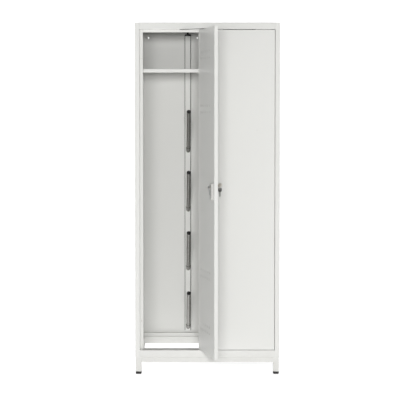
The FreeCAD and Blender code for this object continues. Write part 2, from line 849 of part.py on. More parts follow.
def make_lock_guard(side):
    """Cover over the lock on the inside of the door, open towards the door."""
    lx = lock_x(side)
    wide = guard_width / 2
    z0 = lock_height - guard_below
    z1 = lock_height + guard_above
    shell = rounded_block(lx - wide, lx + wide, door_back, guard_back(), z0, z1, guard_edge, Vec(0, 1, 0))
    rear = [e for e in shell.Edges if abs(e.BoundBox.YMin - guard_back()) < 1e-6]
    shell = shell.makeFillet(guard_edge * 0.6, rear)
    inside = block(lx - wide + guard_wall, lx + wide - guard_wall, door_back, guard_back() - guard_wall,
                   z0 + guard_wall, z1 - guard_wall)
    hole_radius = lock_barrel_radius + lock_hole_clearance
    hole = rod(hole_radius, Vec(lx, front, lock_height), Vec(lx, back, lock_height))
    save(side + "_lock_guard", hung(shell.cut([inside, hole]), side))


def make_lock_plug(side):
    """The turning plug with its keyway and rear shaft, the cranked cam, and the cam's nut."""
    lx = lock_x(side)
    face = front - rosette_height
    shoulder = barrel_back()
    end = shoulder + plug_shaft_length
    plug = rod(plug_radius, Vec(lx, face, lock_height), Vec(lx, shoulder, lock_height))
    plug = plug.fuse(rod(plug_shaft_radius, Vec(lx, shoulder, lock_height), Vec(lx, end, lock_height)))
    slot_x = key_thickness / 2 + key_clearance
    slot_z = key_blade_height / 2 + key_clearance
    slot_end = face + keyway_depth
    keyway = block(lx - slot_x, lx + slot_x, face, slot_end, lock_height - slot_z, lock_height + slot_z)
    save(side + "_lock_plug", hung(plug.removeSplitter().cut(keyway), side))
    tip_y = lip_back + cam_tip_clearance + cam_gauge / 2
    root_y = tip_y + cam_crank
    section = [
        (root_y, lock_height + cam_root),
        (root_y, lock_height - cam_crank_start),
        (tip_y, lock_height - cam_crank_end),
        (tip_y, lock_height - cam_length),
    ]
    cam = folded_across(section, lx - cam_width / 2, lx + cam_width / 2, cam_gauge, cam_gauge)
    cam = cam.cut(rod(plug_shaft_radius + touch, Vec(lx, front, lock_height), Vec(lx, back, lock_height)))
    save(side + "_lock_cam", hung(cam, side))
    nut_y = root_y + cam_gauge / 2
    nut = rod(cam_nut_radius, Vec(lx, nut_y, lock_height), Vec(lx, nut_y + cam_nut_height, lock_height))
    nut = nut.cut(rod(plug_shaft_radius + touch, Vec(lx, front, lock_height), Vec(lx, back, lock_height)))
    save(side + "_lock_cam_nut", hung(nut, side))


def make_keys(side):
    """The key in the lock, the ring through its bow, and the spare key that hangs on the ring."""
    lx = lock_x(side)
    face = front - rosette_height
    thick = key_bow_thickness / 2
    bow_y = face - key_bow_gap - key_bow_radius
    bow = rod(key_bow_radius, Vec(lx - thick, bow_y, lock_height), Vec(lx + thick, bow_y, lock_height))
    blade = block(lx - key_thickness / 2, lx + key_thickness / 2, bow_y, face + keyway_depth - 2,
                  lock_height - key_blade_height / 2, lock_height + key_blade_height / 2)
    hole_y = bow_y - key_bow_radius + key_hole_rim + key_hole_radius
    hole = rod(key_hole_radius, Vec(lx - 5, hole_y, lock_height), Vec(lx + 5, hole_y, lock_height))
    save(side + "_key", bow.fuse(blade).removeSplitter().cut(hole))
    turn = FreeCAD.Rotation(up, ring_turn)
    ring_normal = turn.multVec(Vec(0, 1, 0))
    centre = Vec(lx, hole_y, lock_height - ring_radius)
    save("key_ring", Part.makeTorus(ring_radius, ring_wire_radius, centre, ring_normal))
    make_spare_key(lx, hole_y, centre.z - ring_radius - spare_hole_drop)


def make_spare_key(x, y, hole_z):
    """A flat key with a moulded bow and a notched blade, hanging face to the front."""
    thick = spare_bow_thickness / 2
    wide = spare_bow_width / 2
    top = hole_z + spare_hole_radius + key_hole_rim
    bow = rounded_block(x - wide, x + wide, y - thick, y + thick, top - spare_bow_height, top,
                        spare_bow_corner, Vec(0, 1, 0))
    bow = bow.cut(rod(spare_hole_radius, Vec(x, y - 5, hole_z), Vec(x, y + 5, hole_z)))
    low = top - spare_bow_height
    tip = low - spare_blade_length
    edge = spare_blade_width / 2
    outline = [(x - edge, low + 2), (x - edge, tip + edge), (x, tip), (x + edge, tip + edge)]
    step = (spare_blade_length - 2 * edge) / spare_notches
    for i in range(spare_notches):
        z = tip + edge + i * step
        outline += [(x + edge - spare_notch, z + step / 2), (x + edge, z + step)]
    outline += [(x + edge, low + 2), (x - edge, low + 2)]
    corners = [Vec(u, y - spare_blade_thickness / 2, v) for u, v in outline]
    blade = Part.Face(Part.makePolygon(corners)).extrude(Vec(0, spare_blade_thickness, 0))
    save("spare_key", bow.fuse(blade).removeSplitter())


# ---- drying ducts --------------------------------------------------------
def spigot_place(side):
    """The air spigot's axis on the roof."""
    return duct_x(side), duct_front + duct_depth / 2


def tube_axis(side, height):
    """Start and tip of a boot tube's centre line."""
    start = Vec(duct_x(side) + tube_side_offset, duct_front, height)
    tip = start + Vec(tube_lean, -tube_reach, tube_rise)
    return start, tip


def make_duct(side):
    """The channel in front of the back panel, its edge seals, end plugs and air spigot."""
    x = duct_x(side)
    wide = duct_width / 2
    section = [
        (x - wide + half, back_panel_front),
        (x - wide + half, duct_front + half),
        (x + wide - half, duct_front + half),
        (x + wide - half, back_panel_front),
    ]
    duct = folded_up(section, duct_bottom, duct_top - top_cap_height)
    holes = []
    for height in tube_heights():
        start, tip = tube_axis(side, height)
        along = (tip - start).normalize()
        holes.append(rod(tube_radius + collar_clearance, start - along * 20, start + along * 20))
    duct = duct.cut(holes)
    inner = wide - sheet - touch
    floor = rounded_block(x - inner, x + inner, duct_front + sheet + touch, back_panel_front - touch,
                          duct_bottom, duct_bottom + bottom_plug_height, fold_radius)
    sx, sy = spigot_place(side)
    cap_low = duct_top - top_cap_height
    cap = rounded_block(x - wide, x + wide, duct_front, back_panel_front, cap_low, duct_top, fold_radius)
    pipe = rod(spigot_radius, Vec(sx, sy, cap_low), Vec(sx, sy, cabinet_height))
    bore = rod(spigot_bore, Vec(sx, sy, cap_low - 1), Vec(sx, sy, cabinet_height + 1))
    return duct, floor, cap.fuse(pipe).removeSplitter().cut(bore)


def make_seals():
    """Black sealing strips along both edges of each duct, where it meets the back panel."""
    strips = []
    for side in SIDES:
        for way in (-1, 1):
            inner = duct_x(side) + way * duct_width / 2
            outer = inner + way * seal_width
            strips.append(block(min(inner, outer), max(inner, outer), back_panel_front - seal_depth,
                                back_panel_front, duct_bottom, duct_top))
    save("duct_seals", Part.makeCompound(strips))


def make_grommets():
    """Rubber grommets round the air spigots, in the roof."""
    grommets = []
    for side in SIDES:
        x, y = spigot_place(side)
        outer = spigot_radius + grommet_wall
        body = rod(outer, Vec(x, y, roof_under - grommet_lip_height), Vec(x, y, cabinet_height))
        lip = rod(outer + grommet_lip, Vec(x, y, roof_under - grommet_lip_height), Vec(x, y, roof_under))
        bore = rod(spigot_radius + touch, Vec(x, y, roof_under - 10), Vec(x, y, cabinet_height + 10))
        grommets.append(body.fuse(lip).removeSplitter().cut(bore))
    save("roof_grommets", Part.makeCompound(grommets))


def make_boot_tubes(side):
    """Four slanted tubes, each with a collar at the duct and a holed plastic cap at the tip."""
    tubes = []
    collars = []
    caps = []
    in_front = block(left, right, front, duct_front, 0, cabinet_height)
    to_inner_end = block(left, right, front, duct_front + tube_inside_duct, 0, cabinet_height)
    for height in tube_heights():
        start, tip = tube_axis(side, height)
        along = (tip - start).normalize()
        rear = start - along * 3 * tube_radius
        outside = rod(tube_radius, rear, tip)
        tube = outside.cut(rod(tube_radius - tube_wall, rear - along, tip + along))
        tubes.append(tube.common(to_inner_end))
        sleeve = rod(tube_radius + collar_wall, rear, start + along * collar_length)
        sleeve_end = start + along * 2 * collar_length
        sleeve = sleeve.cut(rod(tube_radius + collar_clearance, rear - along, sleeve_end))
        collars.append(sleeve.common(in_front))
        caps.append(make_tube_cap(tip, along))
    return tubes, collars, caps


def make_tube_cap(tip, along):
    """A push-in cap with a ring of air holes."""
    end = tip + along * cap_length
    head = rod(tube_radius + cap_wall, tip, end)
    rim = [e for e in head.Edges if (e.CenterOfMass - end).Length < 1e-6]
    head = head.makeFillet(cap_wall * 2, rim)
    plug = rod(tube_radius - tube_wall - cap_clearance, tip - along * cap_plug_length, tip)
    side_way = along.cross(Vec(1, 0, 0)).normalize()
    holes = []
    for i in range(cap_holes):
        offset = FreeCAD.Rotation(along, 360.0 * i / cap_holes).multVec(side_way) * cap_hole_ring
        holes.append(rod(cap_hole_radius, tip + offset - along * 20, tip + offset + along * 20))
    return head.fuse(plug).removeSplitter().cut(holes)


# ---- the whole locker ----------------------------------------------------
def make_body():
    """Everything that stands still."""
    make_underframe()
    make_stiles()
    make_centre_post()
    make_front_rails()
    make_panels()
    make_floor_rails()
    make_shelves()
    make_rivets()
    make_buffers()
    make_bushes()
    make_seals()
    make_grommets()
    ducts, floors, spigots = zip(*[make_duct(side) for side in SIDES])
    save("air_ducts", Part.makeCompound(ducts))
    save("duct_bottom_plugs", Part.makeCompound(floors))
    save("air_spigots", Part.makeCompound(spigots))
    tubes, collars, caps = zip(*[make_boot_tubes(side) for side in SIDES])
    save("boot_tubes", Part.makeCompound(sum(tubes, [])))
    save("boot_tube_collars", Part.makeCompound(sum(collars, [])))
    save("boot_tube_caps", Part.makeCompound(sum(caps, [])))


def make_door(side):
    """One door with its lock and stay."""
    make_outer_skin(side)
    make_inner_skin(side)
    make_lock_channel(side)
    make_hinge_parts(side)
    make_stay(side)
    make_lock_housing(side)
    make_lock_guard(side)
    make_lock_plug(side)


os.makedirs("parts", exist_ok=True)
make_body()
for door_side in SIDES:
    make_door(door_side)
make_keys("right")
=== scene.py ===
"""Looks of a two-bay steel ski locker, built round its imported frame.

Metres, in the frame's own axes: +X to the right of a person who faces the doors, +Y to the back, +Z up.
Folded sheet keeps the frame's own solids under a powder coat. Turned, moulded and bent pieces are new
surfaces: each is a function of two parameters on a grid, worked out as whole numpy arrays.
"""
import logging
import math
from dataclasses import dataclass
from enum import Enum
from typing import Any, Iterable, Sequence, Union

import bpy
import numpy as np
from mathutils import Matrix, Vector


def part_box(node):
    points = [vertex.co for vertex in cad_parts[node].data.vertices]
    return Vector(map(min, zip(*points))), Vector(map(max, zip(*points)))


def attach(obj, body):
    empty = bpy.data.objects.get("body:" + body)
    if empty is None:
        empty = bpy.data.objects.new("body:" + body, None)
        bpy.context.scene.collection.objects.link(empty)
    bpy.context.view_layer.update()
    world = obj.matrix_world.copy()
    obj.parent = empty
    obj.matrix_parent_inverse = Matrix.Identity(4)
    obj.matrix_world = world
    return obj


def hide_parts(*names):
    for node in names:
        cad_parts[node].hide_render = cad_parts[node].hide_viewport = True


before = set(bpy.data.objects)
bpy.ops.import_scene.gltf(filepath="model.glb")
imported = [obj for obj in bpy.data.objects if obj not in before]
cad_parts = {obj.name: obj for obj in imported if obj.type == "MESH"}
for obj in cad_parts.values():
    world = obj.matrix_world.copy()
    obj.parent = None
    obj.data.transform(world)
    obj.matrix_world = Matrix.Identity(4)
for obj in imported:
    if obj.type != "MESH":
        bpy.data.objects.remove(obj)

LOG = logging.getLogger("ski_locker")
MM = 0.001
X, Y, Z = (1.0, 0.0, 0.0), (0.0, 1.0, 0.0), (0.0, 0.0, 1.0)
Array = np.ndarray
Colour = tuple[float, float, float]
Number = Union[float, "Wire"]


# ---- shader maths --------------------------------------------------------
class Wire:
    """One output socket of a shader graph. Arithmetic on it adds Math nodes."""

    def __init__(self, graph: "Graph", socket: bpy.types.NodeSocket) -> None:
        """Keeps the socket and the graph that it belongs to."""
        self.graph = graph
        self.socket = socket

    def _math(self, operation: str, *values: Number) -> "Wire":
        """Adds one Math node, with its inputs in order."""
        return self.graph.add("ShaderNodeMath", {"operation": operation}, dict(enumerate(values)))

    def __add__(self, other: Number) -> "Wire":
        """Sum."""
        return self._math("ADD", self, other)

    def __radd__(self, other: float) -> "Wire":
        """Sum, with the number first."""
        return self._math("ADD", other, self)

    def __sub__(self, other: Number) -> "Wire":
        """Difference."""
        return self._math("SUBTRACT", self, other)

    def __rsub__(self, other: float) -> "Wire":
        """Difference, with the number first."""
        return self._math("SUBTRACT", other, self)

    def __mul__(self, other: Number) -> "Wire":
        """Product."""
        return self._math("MULTIPLY", self, other)

    def __rmul__(self, other: float) -> "Wire":
        """Product, with the number first."""
        return self._math("MULTIPLY", other, self)

    def step(self, low: float, high: float) -> "Wire":
        """A smooth step.

        Args:
            low: Where the step starts.
            high: Where it ends. It may be under low, which turns the step round.

        Returns:
            0 before low and 1 past high, with a smooth rise between.
        """
        settings = {"interpolation_type": "SMOOTHSTEP"}
        turned = low > high
        edges = (high, low) if turned else (low, high)
        out = self.graph.add("ShaderNodeMapRange", settings, {0: self, 1: edges[0], 2: edges[1]})
        return 1.0 - out if turned else out


class Graph:
    """The node tree of one material, with its shader and output in place."""

    def __init__(self, name: str) -> None:
        """Makes the material and its empty tree."""
        self.material = bpy.data.materials.new(name)
        self.material.use_nodes = True
        self.nodes = self.material.node_tree.nodes
        self.links = self.material.node_tree.links
        self.nodes.clear()
        self.shader = self.nodes.new("ShaderNodeBsdfPrincipled")
        output = self.nodes.new("ShaderNodeOutputMaterial")
        self.links.new(self.shader.outputs["BSDF"], output.inputs["Surface"])
        coordinates = self.nodes.new("ShaderNodeTexCoord")
        self.place = Wire(self, coordinates.outputs["Object"])

    def add(self, kind: str, settings: dict[str, Any], inputs: dict[Any, Any], output: Any = 0) -> Wire:
        """Adds any node.

        Args:
            kind: The node's type.
            settings: Its own settings, which are set first.
            inputs: Values or wires, by socket name or index.
            output: The output socket's name or index.

        Returns:
            That output.
        """
        node = self.nodes.new(kind)
        for key, value in settings.items():
            setattr(node, key, value)
        for key, value in inputs.items():
            if isinstance(value, Wire):
                self.links.new(value.socket, node.inputs[key])
            else:
                node.inputs[key].default_value = value
        return Wire(self, node.outputs[output])

    def height(self) -> Wire:
        """The place's Z in metres."""
        return self.add("ShaderNodeSeparateXYZ", {}, {0: self.place}, 2)

    def noise(self, size: float, detail: float = 2.0, stretch: Colour = (1.0, 1.0, 1.0),
              seed: float = 0.0) -> Wire:
        """Smooth noise from 0 to 1.

        Args:
            size: Width of one blotch in metres.
            detail: Octaves.
            stretch: Lengthens the blotches along each axis.
            seed: Moves the pattern.

        Returns:
            The noise.
        """
        scale = tuple(1.0 / s for s in stretch)
        mapped = self.add("ShaderNodeMapping", {}, {"Vector": self.place, "Scale": scale,
                                                    "Location": (seed, seed * 0.7, seed * 1.3)})
        return self.add("ShaderNodeTexNoise", {}, {"Vector": mapped, "Scale": 1.0 / size, "Detail": detail})

    def blend(self, share: Number, first: Any, second: Any) -> Wire:
        """Mixes two colours.

        Args:
            share: 0 for the first, 1 for the second.
            first: A colour or wire.
            second: A colour or wire.

        Returns:
            The mixed colour.
        """
        pair = {6: first, 7: second}
        inputs = {k: (v if isinstance(v, Wire) else (*v, 1.0)) for k, v in pair.items()}
        return self.add("ShaderNodeMix", {"data_type": "RGBA"}, {0: share, **inputs}, 2)

    def attribute(self, name: str) -> Wire:
        """A number that the piece's own mesh carries."""
        return self.add("ShaderNodeAttribute", {"attribute_name": name}, {}, "Fac")

    def feed(self, **inputs: Any) -> None:
        """Sets or links the shader's own sockets; a name's underscores stand for spaces."""
        for key, value in inputs.items():
            socket = self.shader.inputs[key.replace("_", " ")]
            if isinstance(value, Wire):
                self.links.new(value.socket, socket)
            else:
                socket.default_value = (*value, 1.0) if isinstance(value, tuple) else value

    def relief(self, height: Wire, depth: float) -> None:
        """Bumps the surface: depth is the metres that a height of 1 stands for."""
        self.feed(Normal=self.add("ShaderNodeBump", {}, {"Height": height, "Distance": depth, "Strength": 1.0}))


# ---- finishes ------------------------------------------------------------
class Wear(Enum):
    """Where a coated sheet has been rubbed."""

    CLEAN = "clean"
    HANDLED = "handled"
    SCUFFED = "scuffed"
    FLOOR = "floor"


@dataclass(frozen=True)
class Finish:
    """A surface's look; each kind of finish paints its own shader."""

    def make(self, name: str) -> bpy.types.Material:
        """Builds the material.

        Args:
            name: Its name.

        Returns:
            The material.
        """
        graph = Graph(name)
        self.paint(graph)
        return graph.material

    def paint(self, graph: Graph) -> None:
        """Feeds the shader's sockets."""
        raise NotImplementedError


@dataclass(frozen=True)
class PowderCoat(Finish):
    """Semi-gloss powder coat: orange peel, faint mottling, and rubbed places by its kind of wear."""

    colour: Colour = (0.690, 0.690, 0.668)
    dust: Colour = (0.42, 0.40, 0.36)
    bared: Colour = (0.30, 0.30, 0.30)
    roughness: float = 0.30
    peel_size: float = 2.4 * MM
    grain_size: float = 0.5 * MM
    peel_depth: float = 0.045 * MM
    wear: Wear = Wear.CLEAN

    def _rubbed(self, graph: Graph) -> Number:
        """Share of the coat that is scratched.

        Args:
            graph: The material's graph.

        Returns:
            A mask from 0 to 1.
        """
        if self.wear is Wear.CLEAN:
            return 0.0
        upright = graph.noise(1.6 * MM, 3.0, (1.0, 1.0, 42.0), 3.0).step(0.66, 0.74)
        level = graph.noise(1.8 * MM, 3.0, (30.0, 12.0, 1.0), 7.0).step(0.68, 0.76)
        where = graph.noise(160 * MM, 2.0, seed=11.0).step(0.46, 0.66)
        share = {Wear.HANDLED: 0.25, Wear.SCUFFED: 0.75, Wear.FLOOR: 0.95}[self.wear]
        return (upright + level) * where * share

    def _dusty(self, graph: Graph) -> Wire:
        """Dust low down, thicker in blotches.

        Args:
            graph: The material's graph.

        Returns:
            A mask from 0 to 1.
        """
        reach = {Wear.FLOOR: 0.20, Wear.SCUFFED: 0.12}.get(self.wear, 0.06)
        blotches = graph.noise(34 * MM, 4.0, seed=5.0)
        return graph.height().step(reach, 0.0) * blotches * (reach * 1.6)

    def paint(self, graph: Graph) -> None:
        """Coat, then dust, then the rubbed places, over orange peel and a finer grain."""
        mottle = graph.noise(420 * MM, 2.0, seed=1.0)
        cloud = graph.noise(9 * MM, 2.0, seed=2.0)
        darker = tuple(c * 0.972 for c in self.colour)
        coat = graph.blend(mottle * 0.75 + cloud * 0.25, darker, self.colour)
        dusty = self._dusty(graph)
        coat = graph.blend(dusty, coat, self.dust)
        rubbed = self._rubbed(graph)
        if isinstance(rubbed, Wire):
            coat = graph.blend(rubbed * 0.34, coat, self.bared)
        smudge = graph.noise(55 * MM, 3.0, seed=9.0)
        dull = smudge * 0.10 + dusty * 0.5 + (self.roughness - 0.05)
        graph.feed(Base_Color=coat, Roughness=dull if isinstance(rubbed, float) else dull + rubbed * 0.18)
        graph.feed(Specular_IOR_Level=0.5, IOR=1.5)
        peel = graph.noise(self.peel_size, 1.5, seed=4.0)
        grain = graph.noise(self.grain_size, 1.0, seed=6.0)
        graph.relief(peel * 0.75 + grain * 0.25, self.peel_depth)


@dataclass(frozen=True)
class Plated(Finish):
    """A plated metal: tint, haze that varies, and fine scratches."""

    colour: Colour
    deep: Colour
    roughness: float
    haze: float = 0.10
    scratch_size: float = 0.35 * MM
    scratch_stretch: Colour = (1.0, 1.0, 14.0)
    depth: float = 0.010 * MM
    spangle: float = 0.0

    def paint(self, graph: Graph) -> None:
        """Tint with haze, and a spangle where the plating has one, under fine scratches."""
        tint = graph.noise(14 * MM, 3.0, seed=1.5)
        if self.spangle:
            cells = graph.add("ShaderNodeTexVoronoi", {"feature": "F1"},
                              {"Vector": graph.place, "Scale": 1 / self.spangle})
            tint = tint * 0.5 + cells * 0.8
        scratch = graph.noise(self.scratch_size, 2.0, self.scratch_stretch, 2.5)
        graph.feed(Base_Color=graph.blend(tint, self.deep, self.colour), Metallic=1.0)
        graph.feed(Roughness=tint * self.haze + scratch * 0.05 + (self.roughness - self.haze / 2))
        graph.relief(scratch, self.depth)


@dataclass(frozen=True)
class PolishedTube(Finish):
    """Stainless tube polished on a belt: fine rings round it, which follow its own length."""

    colour: Colour = (0.46, 0.455, 0.44)
    deep: Colour = (0.27, 0.265, 0.25)
    roughness: float = 0.15
    ring_pitch: float = 0.9 * MM

    def paint(self, graph: Graph) -> None:
        """Rings at each distance along the tube, with a slow haze over them."""
        along = graph.attribute("along")
        rings = graph.add("ShaderNodeTexNoise", {"noise_dimensions": "1D"},
                          {"W": along, "Scale": 1 / self.ring_pitch, "Detail": 4.0})
        haze = graph.noise(22 * MM, 3.0, seed=3.5)
        graph.feed(Base_Color=graph.blend(haze * 0.6 + rings * 0.4, self.deep, self.colour), Metallic=1.0)
        graph.feed(Roughness=rings * 0.08 + haze * 0.08 + (self.roughness - 0.08))
        graph.relief(rings, 0.006 * MM)


@dataclass(frozen=True)
class Moulded(Finish):
    """Moulded plastic or rubber: spark-eroded grain, paler where it is rubbed."""

    colour: Colour
    rubbed: Colour
    roughness: float
    grain: float = 0.45 * MM
    depth: float = 0.02 * MM
    coat: float = 0.0

    def paint(self, graph: Graph) -> None:
        """Blotches and dust over a cellular grain."""
        blotch = graph.noise(11 * MM, 3.0, seed=2.2)
        cells = graph.add("ShaderNodeTexVoronoi", {"feature": "SMOOTH_F1"},
                          {"Vector": graph.place, "Scale": 1 / self.grain})
        dust = graph.noise(3.0 * MM, 4.0, seed=8.0).step(0.52, 0.78)
        graph.feed(Base_Color=graph.blend(blotch * 0.5 + dust * 0.4, self.colour, self.rubbed))
        graph.feed(Roughness=blotch * 0.12 + dust * 0.10 + (self.roughness - 0.08), Coat_Weight=self.coat)
        graph.relief(cells, self.depth)


FINISHES: dict[str, Finish] = {
    "coat_clean": PowderCoat(),
    "coat_handled": PowderCoat(wear=Wear.HANDLED),
    "coat_scuffed": PowderCoat(wear=Wear.SCUFFED),
    "coat_floor": PowderCoat(wear=Wear.FLOOR),
    "zinc_plate": Plated((0.62, 0.63, 0.64), (0.40, 0.41, 0.42), 0.34, 0.16, spangle=3.0 * MM),
    "nickel_plate": Plated((0.90, 0.87, 0.82), (0.72, 0.68, 0.61), 0.42),
    "key_steel": Plated((0.36, 0.36, 0.34), (0.20, 0.20, 0.19), 0.28),
    "blackened_steel": Plated((0.10, 0.10, 0.10), (0.035, 0.035, 0.035), 0.42, 0.18, depth=0.02 * MM),
    "polished_tube": PolishedTube(),
    "black_plastic": Moulded((0.012, 0.012, 0.012), (0.045, 0.043, 0.040), 0.42),
    "key_plastic": Moulded((0.016, 0.014, 0.014), (0.050, 0.046, 0.044), 0.34, 0.3 * MM, coat=0.2),
    "pale_plastic": Moulded((0.54, 0.54, 0.52), (0.46, 0.46, 0.44), 0.34, 0.4 * MM, 0.012 * MM),
    "black_rubber": Moulded((0.014, 0.014, 0.014), (0.060, 0.058, 0.055), 0.68, 0.7 * MM, 0.03 * MM),
    "pale_rubber": Moulded((0.66, 0.65, 0.62), (0.52, 0.51, 0.48), 0.60, 0.6 * MM, 0.02 * MM),
}


class Workshop:
    """Makes each finish once, dresses frame nodes and places new pieces."""

    def __init__(self) -> None:
        """Starts with no finish made."""
        self._made: dict[str, bpy.types.Material] = {}

    def finish(self, name: str) -> bpy.types.Material:
        """The material of a finish, made when it is first asked for."""
        if name not in self._made:
            self._made[name] = FINISHES[name].make(name)
        return self._made[name]

    def dress(self, nodes: Iterable[str], finish: str) -> None:
        """Gives frame nodes a finish.

        Args:
            nodes: Node names.
            finish: The finish's name.
        """
        for node in nodes:
            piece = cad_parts[node]
            piece.data.materials.clear()
            piece.data.materials.append(self.finish(finish))
            LOG.info("node %s: %s", node, finish)

    def place(self, name: str, shells: Sequence["Shell"], finish: str, replaces: Sequence[str] = (),
              body: str = "root", slot: str = "", sharp: float = 35.0) -> None:
        """Makes a new piece from its shells.

        Args:
            name: The piece's name.
            shells: Its closed surfaces, in the frame's axes.
            finish: The finish's name.
            replaces: Frame nodes that it stands for.
            body: The body that it rides on.
            slot: Not used.
            sharp: Edges that turn by more degrees than this stay crisp.
        """
        mesh = Shell.together(shells).to_mesh(name, sharp)
        mesh.materials.append(self.finish(finish))
        piece = bpy.data.objects.new(name, mesh)
        bpy.context.scene.collection.objects.link(piece)
        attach(piece, body)
        if replaces:
            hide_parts(*replaces)
        LOG.info("piece %s: %d faces on %s", name, len(mesh.polygons), body)


# ---- surfaces ------------------------------------------------------------
@dataclass
class Shell:
    """A closed surface: points, quads, triangles, and each point's distance along the piece."""

    points: Array
    quads: Array
    tris: Array
    along: Array

    @staticmethod
    def together(shells: Sequence["Shell"]) -> "Shell":
        """Several shells as one, each kept apart from the others.

        Args:
            shells: The shells.

        Returns:
            One shell.
        """
        starts = np.cumsum([0] + [len(s.points) for s in shells])
        return Shell(
            np.concatenate([s.points for s in shells]),
            np.concatenate([s.quads + start for s, start in zip(shells, starts)]),
            np.concatenate([s.tris + start for s, start in zip(shells, starts)]),
            np.concatenate([s.along for s in shells]),
        )

    def outward(self) -> "Shell":
        """The shell with its faces turned out.

        The sum over its triangles of a . (b x c) is six times the volume, and it is negative when the
        faces look in.
        """
        halves = [self.tris, self.quads[:, [0, 1, 2]], self.quads[:, [0, 2, 3]]]
        corners = self.points[np.concatenate(halves)]
        volume = np.einsum("ij,ij->", corners[:, 0], np.cross(corners[:, 1], corners[:, 2]))
        if volume < 0:
            self.quads = self.quads[:, ::-1]
            self.tris = self.tris[:, ::-1]
        return self

    def to_mesh(self, name: str, sharp: float) -> bpy.types.Mesh:
        """Puts the shell into a mesh.

        Args:
            name: The mesh's name.
            sharp: Degrees past which an edge stays crisp.

        Returns:
            The mesh.
        """
        mesh = bpy.data.meshes.new(name)
        mesh.from_pydata(self.points.tolist(), [], self.quads.tolist() + self.tris.tolist())
        mesh.polygons.foreach_set("use_smooth", np.ones(len(mesh.polygons), bool))
        mesh.attributes.new("along", "FLOAT", "POINT").data.foreach_set("value", self.along.astype(np.float32))
        mesh.set_sharp_from_angle(angle=math.radians(sharp))
        mesh.update()
        return mesh


def loft(loops: Array, ring: bool = False) -> Shell:
    """A skin over a stack of closed loops.

    Point (i, j) is point j of loop i. Quads join loop i to loop i + 1, and point j to point j + 1 round
    the loop. The first and last loops are closed with a fan to their middle, or joined to each other.

    Args:
        loops: Array of loops by points by 3.
        ring: Joins the last loop to the first.

    Returns:
        The closed shell.
    """
    rows, cols = loops.shape[:2]
    index = np.arange(rows * cols).reshape(rows, cols)
    turned = np.roll(index, -1, axis=1)
    lower, lower_next = (index, turned) if ring else (index[:-1], turned[:-1])
    upper = np.roll(index, -1, axis=0) if ring else index[1:]
    upper_next = np.roll(turned, -1, axis=0) if ring else turned[1:]
    quads = np.stack([lower, lower_next, upper_next, upper], axis=-1).reshape(-1, 4)
    points = loops.reshape(-1, 3)
    middles = loops.mean(axis=1)
    steps = np.linalg.norm(np.diff(middles, axis=0), axis=1)
    along = np.repeat(np.concatenate([[0.0], np.cumsum(steps)]), cols)
    if ring:
        return Shell(points, quads, np.zeros((0, 3), int), along).outward()
    first, last = rows * cols, rows * cols + 1
    low = np.stack([np.full(cols, first), turned[0], index[0]], axis=-1)
    high = np.stack([np.full(cols, last), index[-1], turned[-1]], axis=-1)
    points = np.concatenate([points, middles[:1], middles[-1:]])
    along = np.concatenate([along, along[:1], along[-1:]])
    return Shell(points, quads, np.concatenate([low, high]), along).outward()


def unit(vector: Sequence[float]) -> Array:
    """A vector of length one."""
    array = np.asarray(vector, float)
    return array / np.linalg.norm(array)


def cross_axes(axis: Array) -> tuple[Array, Array]:
    """Two unit vectors square to an axis and to each other.

    Args:
        axis: A unit vector.

    Returns:
        The two vectors; the second is the axis crossed with the first.
    """
    helper = np.array([0.0, 0.0, 1.0]) if abs(axis[2]) < 0.9 else np.array([1.0, 0.0, 0.0])
    first = unit(np.cross(helper, axis))
    return first, np.cross(axis, first)


def turns(count: int) -> Array:
    """Angles of a full turn in equal steps."""
    return np.arange(count) * (math.tau / count)


def circle(angle: Array) -> Array:
    """Points (cos t, sin t) of the unit circle."""
    return np.stack([np.cos(angle), np.sin(angle)], axis=-1)


def spokes(axis: Array, count: int) -> Array:
    """Unit vectors round an axis: first cos t + second sin t."""
    return circle(turns(count)) @ np.stack(cross_axes(axis))


def lathe(profile: Sequence[tuple[float, float]], origin: Sequence[float], axis: Sequence[float],
          count: int = 40, ring: bool = False) -> Shell:
    """A turned piece.

    A point at angle t and profile point (r, h) is origin + axis h + (first cos t + second sin t) r.

    Args:
        profile: Radius and height pairs, in metres.
        origin: Where height is zero.
        axis: The direction of height.
        count: Points round.
        ring: Joins the profile's end to its start, for a hollow piece.

    Returns:
        The closed shell.
    """
    shape = np.asarray(profile, float)
    way = unit(axis)
    loops = shape[:, None, :1] * spokes(way, count) + shape[:, None, 1:] * way
    return loft(loops + np.asarray(origin, float), ring)


def squircle(half_x: float, half_y: float, power: float, count: int = 48) -> Array:
    """A superellipse: x is half_x sign(cos t) |cos t|^(2/power), and y likewise with the sine."""
    point = circle(turns(count) + math.pi / count)
    return np.sign(point) * np.abs(point) ** (2 / power) * (half_x, half_y)


def rounded_rectangle(half_x: float, half_y: float, radius: float, per_corner: int = 8) -> Array:
    """A rectangle with round corners, each a quarter circle about its own centre.

    Args:
        half_x: Half width.
        half_y: Half depth.
        radius: Corner radius.
        per_corner: Points in each corner.

    Returns:
        Array of 4 per_corner by 2.
    """
    quarter = math.pi / 2 * np.arange(4)[:, None] + np.linspace(0, math.pi / 2, per_corner)
    centre = np.array([[1, 1], [-1, 1], [-1, -1], [1, -1]]) * (half_x - radius, half_y - radius)
    return (centre[:, None] + circle(quarter) * radius).reshape(-1, 2)


@dataclass(frozen=True)
class Plane:
    """A plane that flat outlines are drawn in: its origin, and unit vectors to the right and up."""

    origin: Sequence[float]
    right: Colour = X
    up: Colour = Z

    def lay(self, outline: Array, lift: Any = 0.0) -> Array:
        """Puts an outline in space: origin + right u + up v + normal lift."""
        axes = np.array([self.right, self.up])
        return np.asarray(self.origin, float) + outline @ axes + lift * np.cross(*axes)


